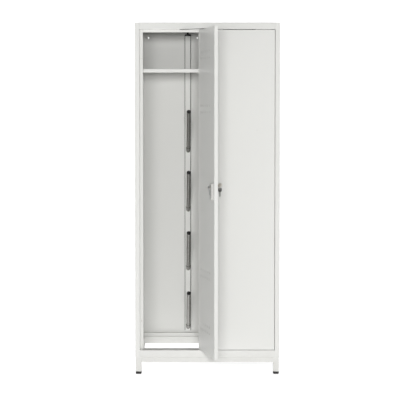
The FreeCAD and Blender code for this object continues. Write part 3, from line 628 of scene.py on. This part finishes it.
def slab(outline: Array, thickness: float, edge: float, plane: Plane) -> Shell:
    """A flat piece with rounded edges.

    Loops of the outline are stacked through the thickness. Near each face the loop shrinks towards its
    middle by edge (1 - cos a) while it rises by edge sin a, which rounds the edge by a quarter circle.

    Args:
        outline: The flat outline, count by 2.
        thickness: Full thickness.
        edge: Rounding radius.
        plane: The plane of the slab's middle.

    Returns:
        The closed shell.
    """
    bend = np.linspace(0, math.pi / 2, 4)
    rise = thickness / 2 - edge * (1 - np.sin(bend))
    inset = edge * (1 - np.cos(bend))
    size = np.linalg.norm(outline, axis=-1).max()
    flat = outline * (1 - np.concatenate([inset[::-1], inset]) / size)[:, None, None]
    return loft(plane.lay(flat, np.concatenate([-rise[::-1], rise])[:, None, None]))


def pierced_slab(outline: Array, hole: Array, thickness: float, edge: float, plane: Plane,
                 rim: float = 0.0) -> Shell:
    """A flat piece with one hole, as a ring of sections from the hole to the outline.

    The share s of the way from the hole to the outline, and the height h, go once round the section:
    out over one face, round the edge, back under the other face, and through the hole.

    Args:
        outline: The outer outline, count by 2.
        hole: The hole, with as many points, in step with the outline.
        thickness: Full thickness.
        edge: Rounding of both edges, as a share of the section.
        plane: The plane of the slab's middle.
        rim: How much the faces sink between the rims.

    Returns:
        The closed shell.
    """
    share = np.array([0.0, edge / 2, edge, 2 * edge, 1 - 2 * edge, 1 - edge, 1 - edge / 2, 1.0])
    height = np.array([0.55, 0.9, 1.0, 1.0, 1.0, 1.0, 0.9, 0.55]) * thickness / 2
    height[3:5] -= rim
    share = np.concatenate([share, share[::-1]])[:, None, None]
    height = np.concatenate([height, -height[::-1]])[:, None, None]
    return loft(plane.lay(hole + (outline - hole) * share, height), ring=True)


def sweep(section: Array, path: Array, right: Array, up: Array) -> Shell:
    """A section carried along a path: point (i, j) is path i + right i u j + up i v j."""
    u, v = section[None, :, :1], section[None, :, 1:]
    return loft(path[:, None] + right[:, None] * u + up[:, None] * v)


def turn_about(points: Array, centre: Sequence[float], degrees: float) -> Array:
    """Turns points about an upright axis.

    Args:
        points: Array ending in 3.
        centre: A point on the axis.
        degrees: The turn, anticlockwise from above.

    Returns:
        The turned points.
    """
    a = math.radians(degrees)
    turn = np.array([[math.cos(a), math.sin(a), 0.0], [-math.sin(a), math.cos(a), 0.0], [0.0, 0.0, 1.0]])
    middle = np.asarray(centre, float)
    return (points - middle) @ turn + middle


# ---- sub-assemblies ------------------------------------------------------
class Side(Enum):
    """One bay of the locker."""

    LEFT = "left"
    RIGHT = "right"


@dataclass
class Carcass:
    """The folded sheet body, its rivets and its door buffers."""

    shop: Workshop
    rivet_rows: int = 9
    rivet_radius: float = 3.5 * MM
    rivet_height: float = 1.2 * MM
    buffer_radius: float = 4.0 * MM
    clean: tuple[str, ...] = ("roof_panel", "front_top_rail", "left_stile", "right_stile", "centre_post",
                              "back_panel", "left_side_panel", "right_side_panel", "air_ducts")
    scuffed: tuple[str, ...] = ("partition", "hat_shelves", "shelf_brackets")
    floor: tuple[str, ...] = ("front_bottom_rail", "rear_floor_rail", "side_floor_rails", "centre_floor_rail")

    def build(self) -> None:
        """Dresses the sheet and makes the small fittings."""
        self.shop.dress(self.clean, "coat_clean")
        self.shop.dress(self.scuffed, "coat_scuffed")
        self.shop.dress(self.floor, "coat_floor")
        self.shop.dress(("stay_studs",), "blackened_steel")
        self.shop.dress(("hinge_bushes",), "pale_plastic")
        self._rivets()
        self._buffers()

    def _rivets(self) -> None:
        """Domed blind rivets down both edges of the back, each with its pulled stem in a dimple."""
        low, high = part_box("back_rivets")
        r, h = self.rivet_radius, self.rivet_height
        bend = np.linspace(0, math.pi / 2, 7)
        dome = [(r * math.cos(a), h * (0.15 + 0.85 * math.sin(a))) for a in bend[:-2]]
        profile = [(r, 0.0), *dome, (r * 0.36, h * 0.98), (r * 0.32, h * 0.55), (r * 0.22, h * 0.55),
                   (r * 0.20, h * 0.72), (r * 0.08, h * 0.76)]
        heights = np.linspace(low.z + r, high.z - r, self.rivet_rows)
        shells = [lathe(profile, (x, low.y, z), Y, 20)
                  for x in (low.x + r, high.x - r) for z in heights]
        self.shop.place("back_rivet_heads", shells, "zinc_plate", ["back_rivets"])

    def _buffers(self) -> None:
        """Domed rubber stops behind each door's free edge."""
        low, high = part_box("door_buffers")
        r = self.buffer_radius
        depth = high.y - low.y
        profile = [(r, 0.0), (r, depth * 0.45), (r * 0.97, depth * 0.7), (r * 0.82, depth * 0.9),
                   (r * 0.5, depth * 0.98), (r * 0.15, depth)]
        shells = [lathe(profile, (x, high.y, z), (0.0, -1.0, 0.0), 28)
                  for x in (low.x + r, high.x - r) for z in (low.z + r, high.z - r)]
        self.shop.place("rubber_buffers", shells, "pale_rubber", ["door_buffers"])


@dataclass
class Underframe:
    """Square-tube legs and rails, the weld beads between them, and the floor caps."""

    shop: Workshop
    cap_waist: float = 0.6 * MM
    cap_round: float = 7.0 * MM
    cap_corner: float = 5.0 * MM
    bead_width: float = 2.2 * MM
    bead_pitch: float = 1.9 * MM
    bead_gap: float = 1.5 * MM
    leg: float = 31 * MM

    def build(self) -> None:
        """Dresses the tubes and makes caps and welds."""
        self.shop.dress(("legs", "underframe_front_rail", "underframe_side_rails"), "coat_floor")
        self._caps()
        self._welds()

    def _caps(self) -> None:
        """Moulded caps: square under the leg, with a deep round edge where they meet the floor.

        A loop at height z is a rounded square. Below the round's height its half width shrinks by
        round (1 - sqrt(1 - u^2)), with u from 0 at the top of the round to 1 at the floor.
        """
        low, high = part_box("foot_caps")
        leg_low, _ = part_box("legs")
        half = leg_low.x - low.x + self.leg / 2
        rise = leg_low.z
        u = np.sin(np.linspace(0, math.pi / 2, 12))[::-1]
        height = np.concatenate([(1 - u) * self.cap_round, [rise * 0.62, rise * 0.66, rise * 0.74, rise * 0.80,
                                                            rise - 0.8 * MM, rise - 0.2 * MM, rise]])
        shrink = np.concatenate([self.cap_round * (1 - np.sqrt(np.maximum(0, 1 - u ** 2))),
                                 [0.0, self.cap_waist, self.cap_waist, 0.0, 0.0, 0.25 * MM, 0.8 * MM]])
        flats = [rounded_rectangle(half - s, half - s, max(self.cap_corner - s * 0.4, 1e-4)) for s in shrink]
        shells = [loft(Plane((x, y, 0.0), X, Y).lay(np.stack(flats), height[:, None, None]))
                  for x in (low.x + half, high.x - half) for y in (low.y + half, high.y - half)]
        self.shop.place("foot_glides", shells, "black_plastic", ["foot_caps"])

    def _welds(self) -> None:
        """Coated weld beads where the rails meet the legs, on the inner and lower faces.

        A bead's radius at distance s is width (0.8 + 0.2 |cos(pi s / pitch)|), which leaves the ripples
        of a hand-laid weld.
        """
        front_low, front_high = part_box("underframe_front_rail")
        side_low, side_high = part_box("underframe_side_rails")
        gap = self.bead_gap
        z0, z1 = front_low.z + gap, front_high.z - gap
        shells = []
        for x in (front_low.x, front_high.x):
            shells.append(self._bead((x, front_high.y, z0), (x, front_high.y, z1)))
            shells.append(self._bead((x, front_low.y + gap, front_low.z), (x, front_high.y - gap, front_low.z)))
        for outer, way in ((side_low.x, 1), (side_high.x, -1)):
            inner = outer + way * self.leg
            for y in (side_low.y, side_high.y):
                shells.append(self._bead((inner, y, z0), (inner, y, z1)))
                shells.append(self._bead((outer + way * gap, y, side_low.z), (inner - way * gap, y, side_low.z)))
        self.shop.place("underframe_welds", shells, "coat_floor", slot="body_paint")

    def _bead(self, start: Sequence[float], end: Sequence[float]) -> Shell:
        """One rippled bead between two points."""
        first, run = np.asarray(start), np.subtract(end, start)
        length = float(np.linalg.norm(run))
        rows = max(8, int(length / self.bead_pitch * 6))
        share = np.linspace(0, 1, rows)
        ripple = 0.8 + 0.2 * np.abs(np.cos(math.pi * share * length / self.bead_pitch))
        taper = np.sqrt(np.clip(np.minimum(share, 1 - share) * length / self.bead_width, 0.05, 1))
        radius = self.bead_width / 2 * ripple * taper
        path = first + share[:, None] * run
        return loft(path[:, None] + spokes(unit(run), 10) * radius[:, None, None])


@dataclass
class BootDryer:
    """One bay's four boot tubes, with their collars and caps."""

    shop: Workshop
    side: Side
    centre_x: float
    front_y: float = 218 * MM
    tube_count: int = 4
    first_height: float = 199 * MM
    pitch: float = 348 * MM
    reach: float = 191 * MM
    rise: float = 216 * MM
    lean: float = 5 * MM
    side_offset: float = 2.5 * MM
    radius: float = 11.3 * MM
    wall: float = 1.2 * MM
    collar_wall: float = 2.2 * MM
    collar_length: float = 14 * MM
    cap_length: float = 7 * MM
    root_depth: float = 2.8 * MM
    around: int = 56

    def axis(self, row: int) -> tuple[Array, Array]:
        """Root and tip of one tube's centre line; row 0 is the lowest."""
        root = np.array([self.centre_x + self.side_offset, self.front_y, self.first_height + row * self.pitch])
        return root, root + (self.lean, -self.reach, self.rise)

    def _sleeve(self, row: int, heights: Array, radii: Array) -> tuple[Array, Array]:
        """Loops round a tube's axis, each with a height along it and a radius.

        Args:
            row: 0 for the lowest.
            heights: Distances from the root.
            radii: Radii, in step with the heights.

        Returns:
            The loops, and the axis as a unit vector.
        """
        root, tip = self.axis(row)
        way = unit(tip - root)
        return root + way * heights[:, None, None] + spokes(way, self.around) * radii[:, None, None], way

    @staticmethod
    def _mitre(loops: Array, way: Array, y: float, which: Array) -> Array:
        """Slides the chosen points of loops along the axis until they lie in the upright plane at y."""
        slide = (y - loops[..., 1]) / way[1]
        return np.where(which[..., None], loops + slide[..., None] * way, loops)

    def build(self) -> None:
        """Makes every tube, collar and cap."""
        for row in range(self.tube_count):
            name = f"{self.side.value}_boot_tube_{row + 1}"
            self._tube(name, row)
            self._collar(name + "_collar", row)
            self._cap(name + "_cap", row)

    def _tube(self, name: str, row: int) -> None:
        """A hollow tube cut off square at its tip and mitred inside the duct.

        The section goes out along the outside and back along the bore. The root end is mitred to the
        duct's own upright plane.
        """
        length = math.hypot(self.lean, self.reach, self.rise)
        outer, inner = self.radius, self.radius - self.wall
        share = np.concatenate([[0.0], np.linspace(0.02, 0.985, 14), [1.0]])
        radii = np.concatenate([np.full(15, outer), [outer - 0.3 * MM, inner + 0.2 * MM], np.full(15, inner)])
        heights = np.concatenate([share, share[::-1]]) * length
        loops, way = self._sleeve(row, heights, radii)
        loops = self._mitre(loops, way, self.front_y + self.root_depth, (heights == 0.0)[:, None])
        shell = loft(loops, ring=True)
        shell.along = np.repeat(heights, self.around)
        self.shop.place(name, [shell], "polished_tube", ["boot_tubes"], slot="polished_steel")

    def _collar(self, name: str, row: int) -> None:
        """A turned collar, chamfered in front and cut flush with the duct's face."""
        inner, outer = self.radius + 0.1 * MM, self.radius + self.collar_wall
        radii = np.array([outer, outer, outer, outer - 0.25 * MM, outer - 1.0 * MM, inner, inner])
        heights = np.array([0.0, 0.55, 0.80, 0.88, 1.0, 1.0, 0.0]) * self.collar_length
        loops, way = self._sleeve(row, heights, radii)
        back = (heights == 0.0)[:, None] | (loops[..., 1] > self.front_y)
        loops = self._mitre(loops, way, self.front_y - 0.05 * MM, back)
        self.shop.place(name, [loft(loops, ring=True)], "polished_tube", ["boot_tube_collars"],
                        slot="polished_steel")

    def _cap(self, name: str, row: int) -> None:
        """A push-in plastic cap: ribbed skirt, round shoulder and a dished end with a ring of air holes.

        Each hole is a blind well, so that the cap stays one closed skin. The wells are small cups whose
        rims stand level with the dish.
        """
        root, tip = self.axis(row)
        way = unit(tip - root)
        r, h = self.radius + 0.7 * MM, self.cap_length
        skirt = [(r, 0.0), (r, h * 0.16), (r - 0.35 * MM, h * 0.20), (r - 0.35 * MM, h * 0.30), (r, h * 0.34),
                 (r, h * 0.50), (r - 0.35 * MM, h * 0.54), (r - 0.35 * MM, h * 0.60), (r, h * 0.64)]
        bend = np.linspace(0.15, math.pi / 2, 5)
        edge = 2.0 * MM
        shoulder = [(r - edge + edge * math.cos(a), h - edge + edge * math.sin(a)) for a in bend]
        dish = [(r * 0.72, h - 0.1 * MM), (r * 0.68, h - 0.7 * MM), (r * 0.2, h - 0.9 * MM),
                (r * 0.05, h - 0.9 * MM)]
        shells = [lathe([(r * 0.8, 0.0), *skirt, *shoulder, *dish], tip, way, self.around)]
        well = [(2.3 * MM, 0.0), (2.3 * MM, 0.75 * MM), (2.1 * MM, 0.9 * MM), (1.8 * MM, 0.8 * MM),
                (1.75 * MM, 0.05 * MM), (1.2 * MM, 0.02 * MM)]
        middle = tip + way * (h - 0.95 * MM)
        shells += [lathe(well, middle + spoke * r * 0.42, way, 18) for spoke in spokes(way, 5)]
        self.shop.place(name, shells, "black_plastic", ["boot_tube_caps"])


@dataclass
class DuctFittings:
    """Dark rubber beads down the ducts' edges, whose black stands in for the shade in the gaps there (painted
    shade), bottom plugs, air spigots and roof grommets.
    """

    shop: Workshop
    centres: tuple[float, ...]
    duct_half: float = 15.5 * MM
    shade_bead_width: float = 3.0 * MM

    def build(self) -> None:
        """Makes the painted-shade beads and dresses the rest."""
        self.shop.dress(("duct_bottom_plugs", "air_spigots"), "black_plastic")
        self.shop.dress(("roof_grommets",), "black_rubber")
        self._shade_beads()

    def _shade_beads(self) -> None:
        """Extruded black rubber beads: a flat foot with a round bulb, run down each edge of the duct. Their
        black is painted shade: it stands in for the shade in the gaps beside the duct.
        """
        low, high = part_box("duct_seals")
        depth = high.y - low.y
        w = self.shade_bead_width
        bend = np.linspace(0, math.pi, 11)
        bulb = np.stack([w * 0.46 * np.cos(bend), depth * 0.45 + depth * 0.53 * np.sin(bend)], axis=-1)
        foot = np.array([[-0.48, 0.30], [-0.48, 0.0], [0.48, 0.0], [0.48, 0.30]]) * (w, depth)
        section = np.concatenate([bulb, foot])
        heights = np.linspace(low.z, high.z, 60)
        right, out = np.tile(X, (len(heights), 1)), -np.tile(Y, (len(heights), 1))
        shells = []
        for x in (centre + way * (self.duct_half + w / 2) for centre in self.centres for way in (-1, 1)):
            path = np.stack([np.full_like(heights, x), np.full_like(heights, high.y), heights], axis=-1)
            shells.append(sweep(section, path, right, out))
        # The beads' black rubber is painted shade for the dark gaps down the duct's edges.
        self.shop.place("duct_edge_shade_beads", shells, "black_rubber", ["duct_seals"], sharp=50)


@dataclass
class Door:
    """One door: its skins, hinge parts, stay and lock."""

    shop: Workshop
    side: Side
    lock_x: float
    hinge: tuple[float, float]
    open_angle: float
    front_y: float = -250 * MM
    lock_z: float = 1054 * MM
    rosette_radius: float = 11 * MM
    rosette_height: float = 2.0 * MM
    barrel_radius: float = 9 * MM
    barrel_back: float = -217.5 * MM
    bore: float = 6.08 * MM
    guard_back: float = -219 * MM
    guard_front: float = -230 * MM
    guard_half: float = 22 * MM
    guard_above: float = 23 * MM
    guard_below: float = 65 * MM
    guard_round: float = 3.0 * MM
    thread_pitch: float = 0.75 * MM
    thread_depth: float = 0.45 * MM

    def build(self) -> None:
        """Dresses the skins and makes the lock's turned and moulded pieces."""
        s = self.side.value
        self.shop.dress((f"{s}_door_outer_skin",), "coat_clean")
        self.shop.dress((f"{s}_door_inner_skin", f"{s}_door_lock_channel"), "coat_handled")
        hardware = (f"{s}_door_pin_blocks", f"{s}_door_hinge_pins", f"{s}_stay_rivet", f"{s}_lock_cam",
                    f"{s}_lock_cam_nut")
        self.shop.dress(hardware, "zinc_plate")
        self.shop.dress((f"{s}_stay_strap",), "blackened_steel")
        self.shop.dress((f"{s}_lock_nut", f"{s}_lock_plug"), "nickel_plate")
        self._housing(f"{s}_lock_barrel")
        self._guard(f"{s}_lock_cover")

    def _hang(self, name: str, shell: Shell, finish: str, node: str) -> None:
        """Turns a shell from the closed door to where the door stands at rest, and places it.

        Args:
            name: The piece's name.
            shell: Its surface, with the door closed.
            finish: The finish's name.
            node: The frame node that it stands for, without its side.
        """
        side = self.side.value
        shell.points = turn_about(shell.points, (*self.hinge, 0.0), self.open_angle)
        self.shop.place(name, [shell], finish, [f"{side}_{node}"], f"{side}_door", sharp=40)

    def _housing(self, name: str) -> None:
        """Turned lock barrel: beaded rosette in front, rolled thread behind, open bore for the plug."""
        f, r, b = self.rosette_height, self.rosette_radius, self.barrel_radius
        length = self.barrel_back - self.front_y
        front = [(self.bore, -f + 0.5 * MM), (self.bore + 0.5 * MM, -f + 0.1 * MM), (r * 0.74, -f),
                 (r * 0.80, -f + 0.35 * MM), (r * 0.84, -f + 0.35 * MM), (r * 0.88, -f + 0.05 * MM),
                 (r * 0.95, -f + 0.25 * MM), (r, -f + 0.9 * MM), (r, 0.0), (b, 0.0)]
        crest = np.arange(1.2 * MM, length - 1.0 * MM, self.thread_pitch)
        groove = (self.thread_depth, 0.37 * MM)
        thread = [(b - depth, h + shift) for h in crest for depth, shift in ((0.0, 0.0), groove)]
        rear = [(b - 0.2 * MM, length - 0.6 * MM), (b - 0.8 * MM, length), (self.bore, length)]
        origin = (self.lock_x, self.front_y, self.lock_z)
        shell = lathe([*front, *thread, *rear], origin, Y, 48, ring=True)
        self._hang(name, shell, "nickel_plate", "lock_housing")

    def _guard(self, name: str) -> None:
        """Moulded cover over the lock, with a hollow boss where the barrel comes through.

        Loops are rounded rectangles stacked from the door outward. The last ones shrink along a quarter
        circle to round the rim, then run in to the boss's circle.
        """
        depth = self.guard_back - self.guard_front
        half_z = (self.guard_above + self.guard_below) / 2
        middle_z = self.lock_z + (self.guard_above - self.guard_below) / 2
        edge = self.guard_round
        bend = np.linspace(0, math.pi / 2, 6)
        rise = np.concatenate([[0.0, depth * 0.3], depth - edge + edge * np.sin(bend)])
        shrink = np.concatenate([[0.0, 0.15 * MM], 0.2 * MM + edge * (1 - np.cos(bend))])
        base = Plane((self.lock_x, self.guard_front, middle_z))
        loops = [base.lay(rounded_rectangle(self.guard_half - s, half_z - s, 4.5 * MM - s * 0.6, 10), -h)
                 for h, s in zip(rise, shrink)]
        flat = rounded_rectangle(self.guard_half - edge, half_z - edge, 3 * MM, 10)
        boss = circle(np.arctan2(flat[:, 1] - (self.lock_z - middle_z), flat[:, 0]))
        rings = ((12.2 * MM, 0.0), (11.8 * MM, 0.45 * MM), (10.4 * MM, 0.54 * MM), (9.6 * MM, 0.45 * MM),
                 (9.35 * MM, 0.0), (9.35 * MM, -depth * 0.96))
        back = Plane((self.lock_x, self.guard_back, self.lock_z))
        loops += [back.lay(boss * radius, -proud) for radius, proud in rings]
        self._hang(name, loft(np.stack(loops), ring=True), "pale_plastic", "lock_guard")


@dataclass
class Keys:
    """The key in the right lock, its split ring, and the spare key that hangs on it."""

    shop: Workshop
    x: float = 69.5 * MM
    lock_z: float = 1054 * MM
    face_y: float = -252 * MM
    bow_radius: float = 11 * MM
    bow_y: float = -266.5 * MM
    hole_y: float = -272.5 * MM
    hole_radius: float = 2.6 * MM
    bow_thickness: float = 2.0 * MM
    ring_radius: float = 9 * MM
    ring_turn: float = 45.0
    spare_half: float = 9.5 * MM
    spare_height: float = 22 * MM
    spare_top: float = 1040.4 * MM
    spare_hole_z: float = 1034.8 * MM
    blade_half: float = 3.5 * MM
    blade_length: float = 28 * MM
    tooth_pitch: float = 2.6 * MM
    tooth_depth: float = 1.2 * MM
    bite_pitch: float = 5.2 * MM
    bite_depth: float = 1.5 * MM

    def build(self) -> None:
        """Makes the three keyed pieces."""
        self._key()
        self._ring()
        self._spare()

    def _key(self) -> None:
        """A nickel key: a round bow with sunk faces and a pierced hole, a shoulder and a milled blade."""
        angle = turns(64)
        rim = circle(angle)
        hole = rim * self.hole_radius + (self.hole_y - self.bow_y, 0.0)
        squeeze = 1 - 0.10 * np.cos(2 * angle)[:, None] ** 8
        bow = pierced_slab(rim * self.bow_radius * squeeze, hole, self.bow_thickness, 0.12,
                           Plane((self.x, self.bow_y, self.lock_z), Y, Z), 0.25 * MM)
        neck_start, neck_end = self.bow_y + self.bow_radius - 2.5 * MM, self.face_y + 22 * MM
        path_y = np.linspace(neck_start, neck_end, 30)
        teeth = 0.5 + 0.5 * np.cos((path_y - self.face_y) / self.tooth_pitch * math.tau)
        toothed = np.where(path_y > self.face_y + 2 * MM, teeth * self.tooth_depth, 0.0)
        section = squircle(0.85 * MM, 3.2 * MM, 6, 24)
        loops = np.tile(section[None], (len(path_y), 1, 1))
        loops[..., 1] += np.where(loops[..., 1] < 0, toothed[:, None], 0.0)
        taper = np.clip((neck_end - path_y) / (2 * MM), 0.25, 1.0)
        loops = loops * taper[:, None, None]
        points = np.stack([self.x + loops[..., 0], np.repeat(path_y[:, None], loops.shape[1], 1),
                           self.lock_z + loops[..., 1]], axis=-1)
        self.shop.place("right_lock_key", [bow, loft(points)], "nickel_plate", ["right_key"], "right_lock")

    def _ring(self) -> None:
        """A split ring: flattened wire wound nearly twice round.

        At turn t the wire's middle is at radius R and stands off the ring's plane by a step that goes
        smoothly from one side to the other while the first turn becomes the second.
        """
        t = np.linspace(0.06, 1.97, 150)
        a = math.radians(self.ring_turn)
        right = (math.cos(a), math.sin(a), 0.0)
        normal = np.array([-math.sin(a), math.cos(a), 0.0])
        shift = 0.42 * MM * np.tanh((t - 1.0) * 9.0)
        spoke = circle(math.tau * t) @ np.array([right, Z])
        centre = np.array([self.x, self.hole_y, self.lock_z - self.ring_radius])
        path = centre + spoke * self.ring_radius + shift[:, None] * normal
        section = squircle(0.62 * MM, 0.38 * MM, 3, 14)
        ring = sweep(section, path, spoke, np.tile(normal, (len(t), 1)))
        self.shop.place("split_ring", [ring], "nickel_plate", ["key_ring"], "key_ring")

    def _spare(self) -> None:
        """The spare: a moulded bow with a raised rim, and a steel blade with a milled groove."""
        mid_z = self.spare_top - self.spare_height / 2
        outline = squircle(self.spare_half, self.spare_height / 2, 3.2, 64)
        hole = circle(np.arctan2(outline[:, 1], outline[:, 0])) * 3.2 * MM + (0.0, self.spare_hole_z - mid_z)
        bow = pierced_slab(outline, hole, 2.6 * MM, 0.10, Plane((self.x, self.hole_y, mid_z)), 0.35 * MM)
        self.shop.place("spare_key_bow", [bow], "key_plastic", ["spare_key"], "spare_key")
        top = self.spare_top - self.spare_height + 3 * MM
        tip = self.spare_top - self.spare_height - self.blade_length
        z = np.linspace(top, tip, 90)
        bite = np.abs(np.sin((z - tip) / self.bite_pitch * math.pi))
        right_edge = self.blade_half - self.bite_depth * (1 - bite) * (z < top - 6 * MM)
        point = np.clip((z - tip) / (3.5 * MM), 0.08, 1.0)
        across = np.linspace(-1, 1, 9)
        groove = 1 - 0.45 * np.exp(-(across / 0.22) ** 2)
        half_t = 0.95 * MM
        left_x = -self.blade_half * point
        right_x = np.minimum(right_edge, self.blade_half * point)
        x = left_x[:, None] + (right_x - left_x)[:, None] * (across[None] + 1) / 2
        front = np.stack([self.x + x, np.tile(self.hole_y - half_t * groove, (len(z), 1)),
                          np.repeat(z[:, None], 9, 1)], axis=-1)
        rear = front.copy()
        rear[..., 1] = 2 * self.hole_y - front[..., 1]
        blade = loft(np.concatenate([front, rear[:, ::-1]], axis=1))
        self.shop.place("spare_key_blade", [blade, self._inlay(mid_z)], "key_steel", (), "spare_key",
                        "key_plastic")

    def _inlay(self, mid_z: float) -> Shell:
        """The blade's shank, which shows through both faces of the bow up to its hole."""
        half_z = self.spare_height / 2 - 3.2 * MM
        outline = rounded_rectangle(2.3 * MM, half_z * 0.72, 1.4 * MM)
        return slab(outline, 2.75 * MM, 0.2 * MM, Plane((self.x, self.hole_y, mid_z - half_z * 0.42)))


# ---- studio --------------------------------------------------------------
@dataclass(frozen=True)
class SoftLight:
    """One square area light: where it stands, its width, its watts and what it points at."""

    name: str
    place: Colour
    size: float
    power: float
    target: Colour = (0.0, 0.0, 1.1)

    def hang(self) -> None:
        """Puts the light in the scene. Polished pieces don't mirror it."""
        light = bpy.data.lights.new(self.name, "AREA")
        light.shape = "SQUARE"
        light.size = self.size
        light.energy = self.power
        lamp = bpy.data.objects.new(self.name, light)
        lamp.location = self.place
        lamp.visible_glossy = False
        way = Vector(self.target) - Vector(self.place)
        lamp.rotation_euler = way.to_track_quat("-Z", "Y").to_euler()
        bpy.context.scene.collection.objects.link(lamp)


LIGHTS = (
    SoftLight("key", (0.25, -8.6, 2.0), 1.0, 300.0),
    SoftLight("side_key", (-1.05, -8.6, 1.9), 1.3, 160.0),
    SoftLight("top_light", (0.0, 1.4, 5.2), 2.4, 95.0, (0.0, 0.1, 1.0)),
)


@dataclass
class Studio:
    """Pale floor with a curved backdrop, white walls far off, soft lights, and the camera."""

    eye: Colour = (-0.0407, -7.65, 1.42)
    lens: float = 120.49
    sensor: float = 36.0
    shift: float = -0.05
    pitch: float = 2.61
    floor_half: float = 14.0
    wall_radius: float = 22.0
    backdrop_y: float = 5.0
    backdrop_height: float = 9.0
    bend: float = 2.5
    pale: Colour = (0.40, 0.40, 0.40)
    glow: float = 0.86
    ambient: float = 0.10

    def build(self) -> None:
        """Sets up everything that isn't the locker."""
        self._backdrop()
        self._surround()
        self._world()
        for light in LIGHTS:
            light.hang()
        self._camera()

    @staticmethod
    def _surface(name: str, points: Array, colour: Colour, glow: float) -> bpy.types.Object:
        """A matt stage surface over a grid of points, which glows by itself.

        Args:
            name: Its name.
            points: Rows by columns by 3.
            colour: Its colour.
            glow: Strength of its own light.

        Returns:
            The object.
        """
        index = np.arange(points[..., 0].size).reshape(points.shape[:2])
        faces = np.stack([index[:-1, :-1], index[:-1, 1:], index[1:, 1:], index[1:, :-1]], axis=-1)
        mesh = bpy.data.meshes.new(name)
        mesh.from_pydata(points.reshape(-1, 3).tolist(), [], faces.reshape(-1, 4).tolist())
        mesh.polygons.foreach_set("use_smooth", np.ones(len(mesh.polygons), bool))
        graph = Graph(name)
        graph.feed(Base_Color=colour, Roughness=0.9, Specular_IOR_Level=0.1)
        graph.feed(Emission_Color=(1.0, 1.0, 1.0), Emission_Strength=glow)
        mesh.materials.append(graph.material)
        surface = bpy.data.objects.new(name, mesh)
        bpy.context.scene.collection.objects.link(surface)
        return surface

    def _backdrop(self) -> None:
        """A sweep of paper: level floor, quarter bend, upright back.

        The profile's height is 0 up to the bend, then bend (1 - cos a), then rises straight.
        """
        a = np.linspace(0, math.pi / 2, 24)
        y = np.concatenate([[-self.floor_half], self.backdrop_y + self.bend * np.sin(a)])
        z = np.concatenate([[0.0], self.bend * (1 - np.cos(a)), [self.backdrop_height]])
        y = np.append(y, y[-1])
        edges = [np.stack([np.full_like(y, x), y, z], axis=-1) for x in (-self.floor_half, self.floor_half)]
        self._surface("paper_sweep", np.stack(edges, axis=1), self.pale, self.glow)

    def _surround(self) -> None:
        """White walls far outside the paper, which are only looked at and light nothing.

        A bowl: a point at angle u round and v up is wall_radius (cos v cos u, cos v sin u, sin v).
        """
        u, v = np.meshgrid(np.linspace(0, math.tau, 65), np.radians(np.linspace(-4.0, 90.0, 24)))
        points = self.wall_radius * np.stack([np.cos(v) * np.cos(u), np.cos(v) * np.sin(u), np.sin(v)], axis=-1)
        walls = self._surface("studio_surround", points, (0.0, 0.0, 0.0), 1.0)
        walls.visible_diffuse = walls.visible_glossy = walls.visible_shadow = False

    def _world(self) -> None:
        """Even white light from all round."""
        world = bpy.data.worlds.new("studio_world")
        world.use_nodes = True
        background = world.node_tree.nodes["Background"]
        background.inputs["Color"].default_value = (1.0, 1.0, 1.0, 1.0)
        background.inputs["Strength"].default_value = self.ambient
        bpy.context.scene.world = world
        bpy.context.scene.view_settings.view_transform = "Standard"

    def _camera(self) -> None:
        """The camera, level but for a small pitch."""
        data = bpy.data.cameras.new("camera")
        data.lens = self.lens
        data.sensor_width = self.sensor
        data.shift_y = self.shift
        camera = bpy.data.objects.new("camera", data)
        camera.location = self.eye
        camera.rotation_euler = (math.radians(90 - self.pitch), 0.0, 0.0)
        bpy.context.scene.collection.objects.link(camera)
        bpy.context.scene.camera = camera


def corners(box: Sequence[Iterable[float]]) -> list[list[float]]:
    """A box's two corners as plain lists."""
    return [[float(c) for c in corner] for corner in box]


def main() -> None:
    """Builds the locker's looks in order and sets the stage."""
    logging.basicConfig(level=logging.INFO, format="%(name)s: %(message)s")
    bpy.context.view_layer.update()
    shop = Workshop()
    duct_centres = {Side.LEFT: -112.5 * MM, Side.RIGHT: 287 * MM}
    Carcass(shop).build()
    Underframe(shop).build()
    for side, centre in duct_centres.items():
        BootDryer(shop, side, centre).build()
    DuctFittings(shop, tuple(duct_centres.values())).build()
    Door(shop, Side.LEFT, -327.5 * MM, (-34.5 * MM, -242 * MM), 104.0).build()
    Door(shop, Side.RIGHT, 69.5 * MM, (362.5 * MM, -242 * MM), 0.0).build()
    Keys(shop).build()
    Studio().build()


if __name__ == "__main__":
    main()
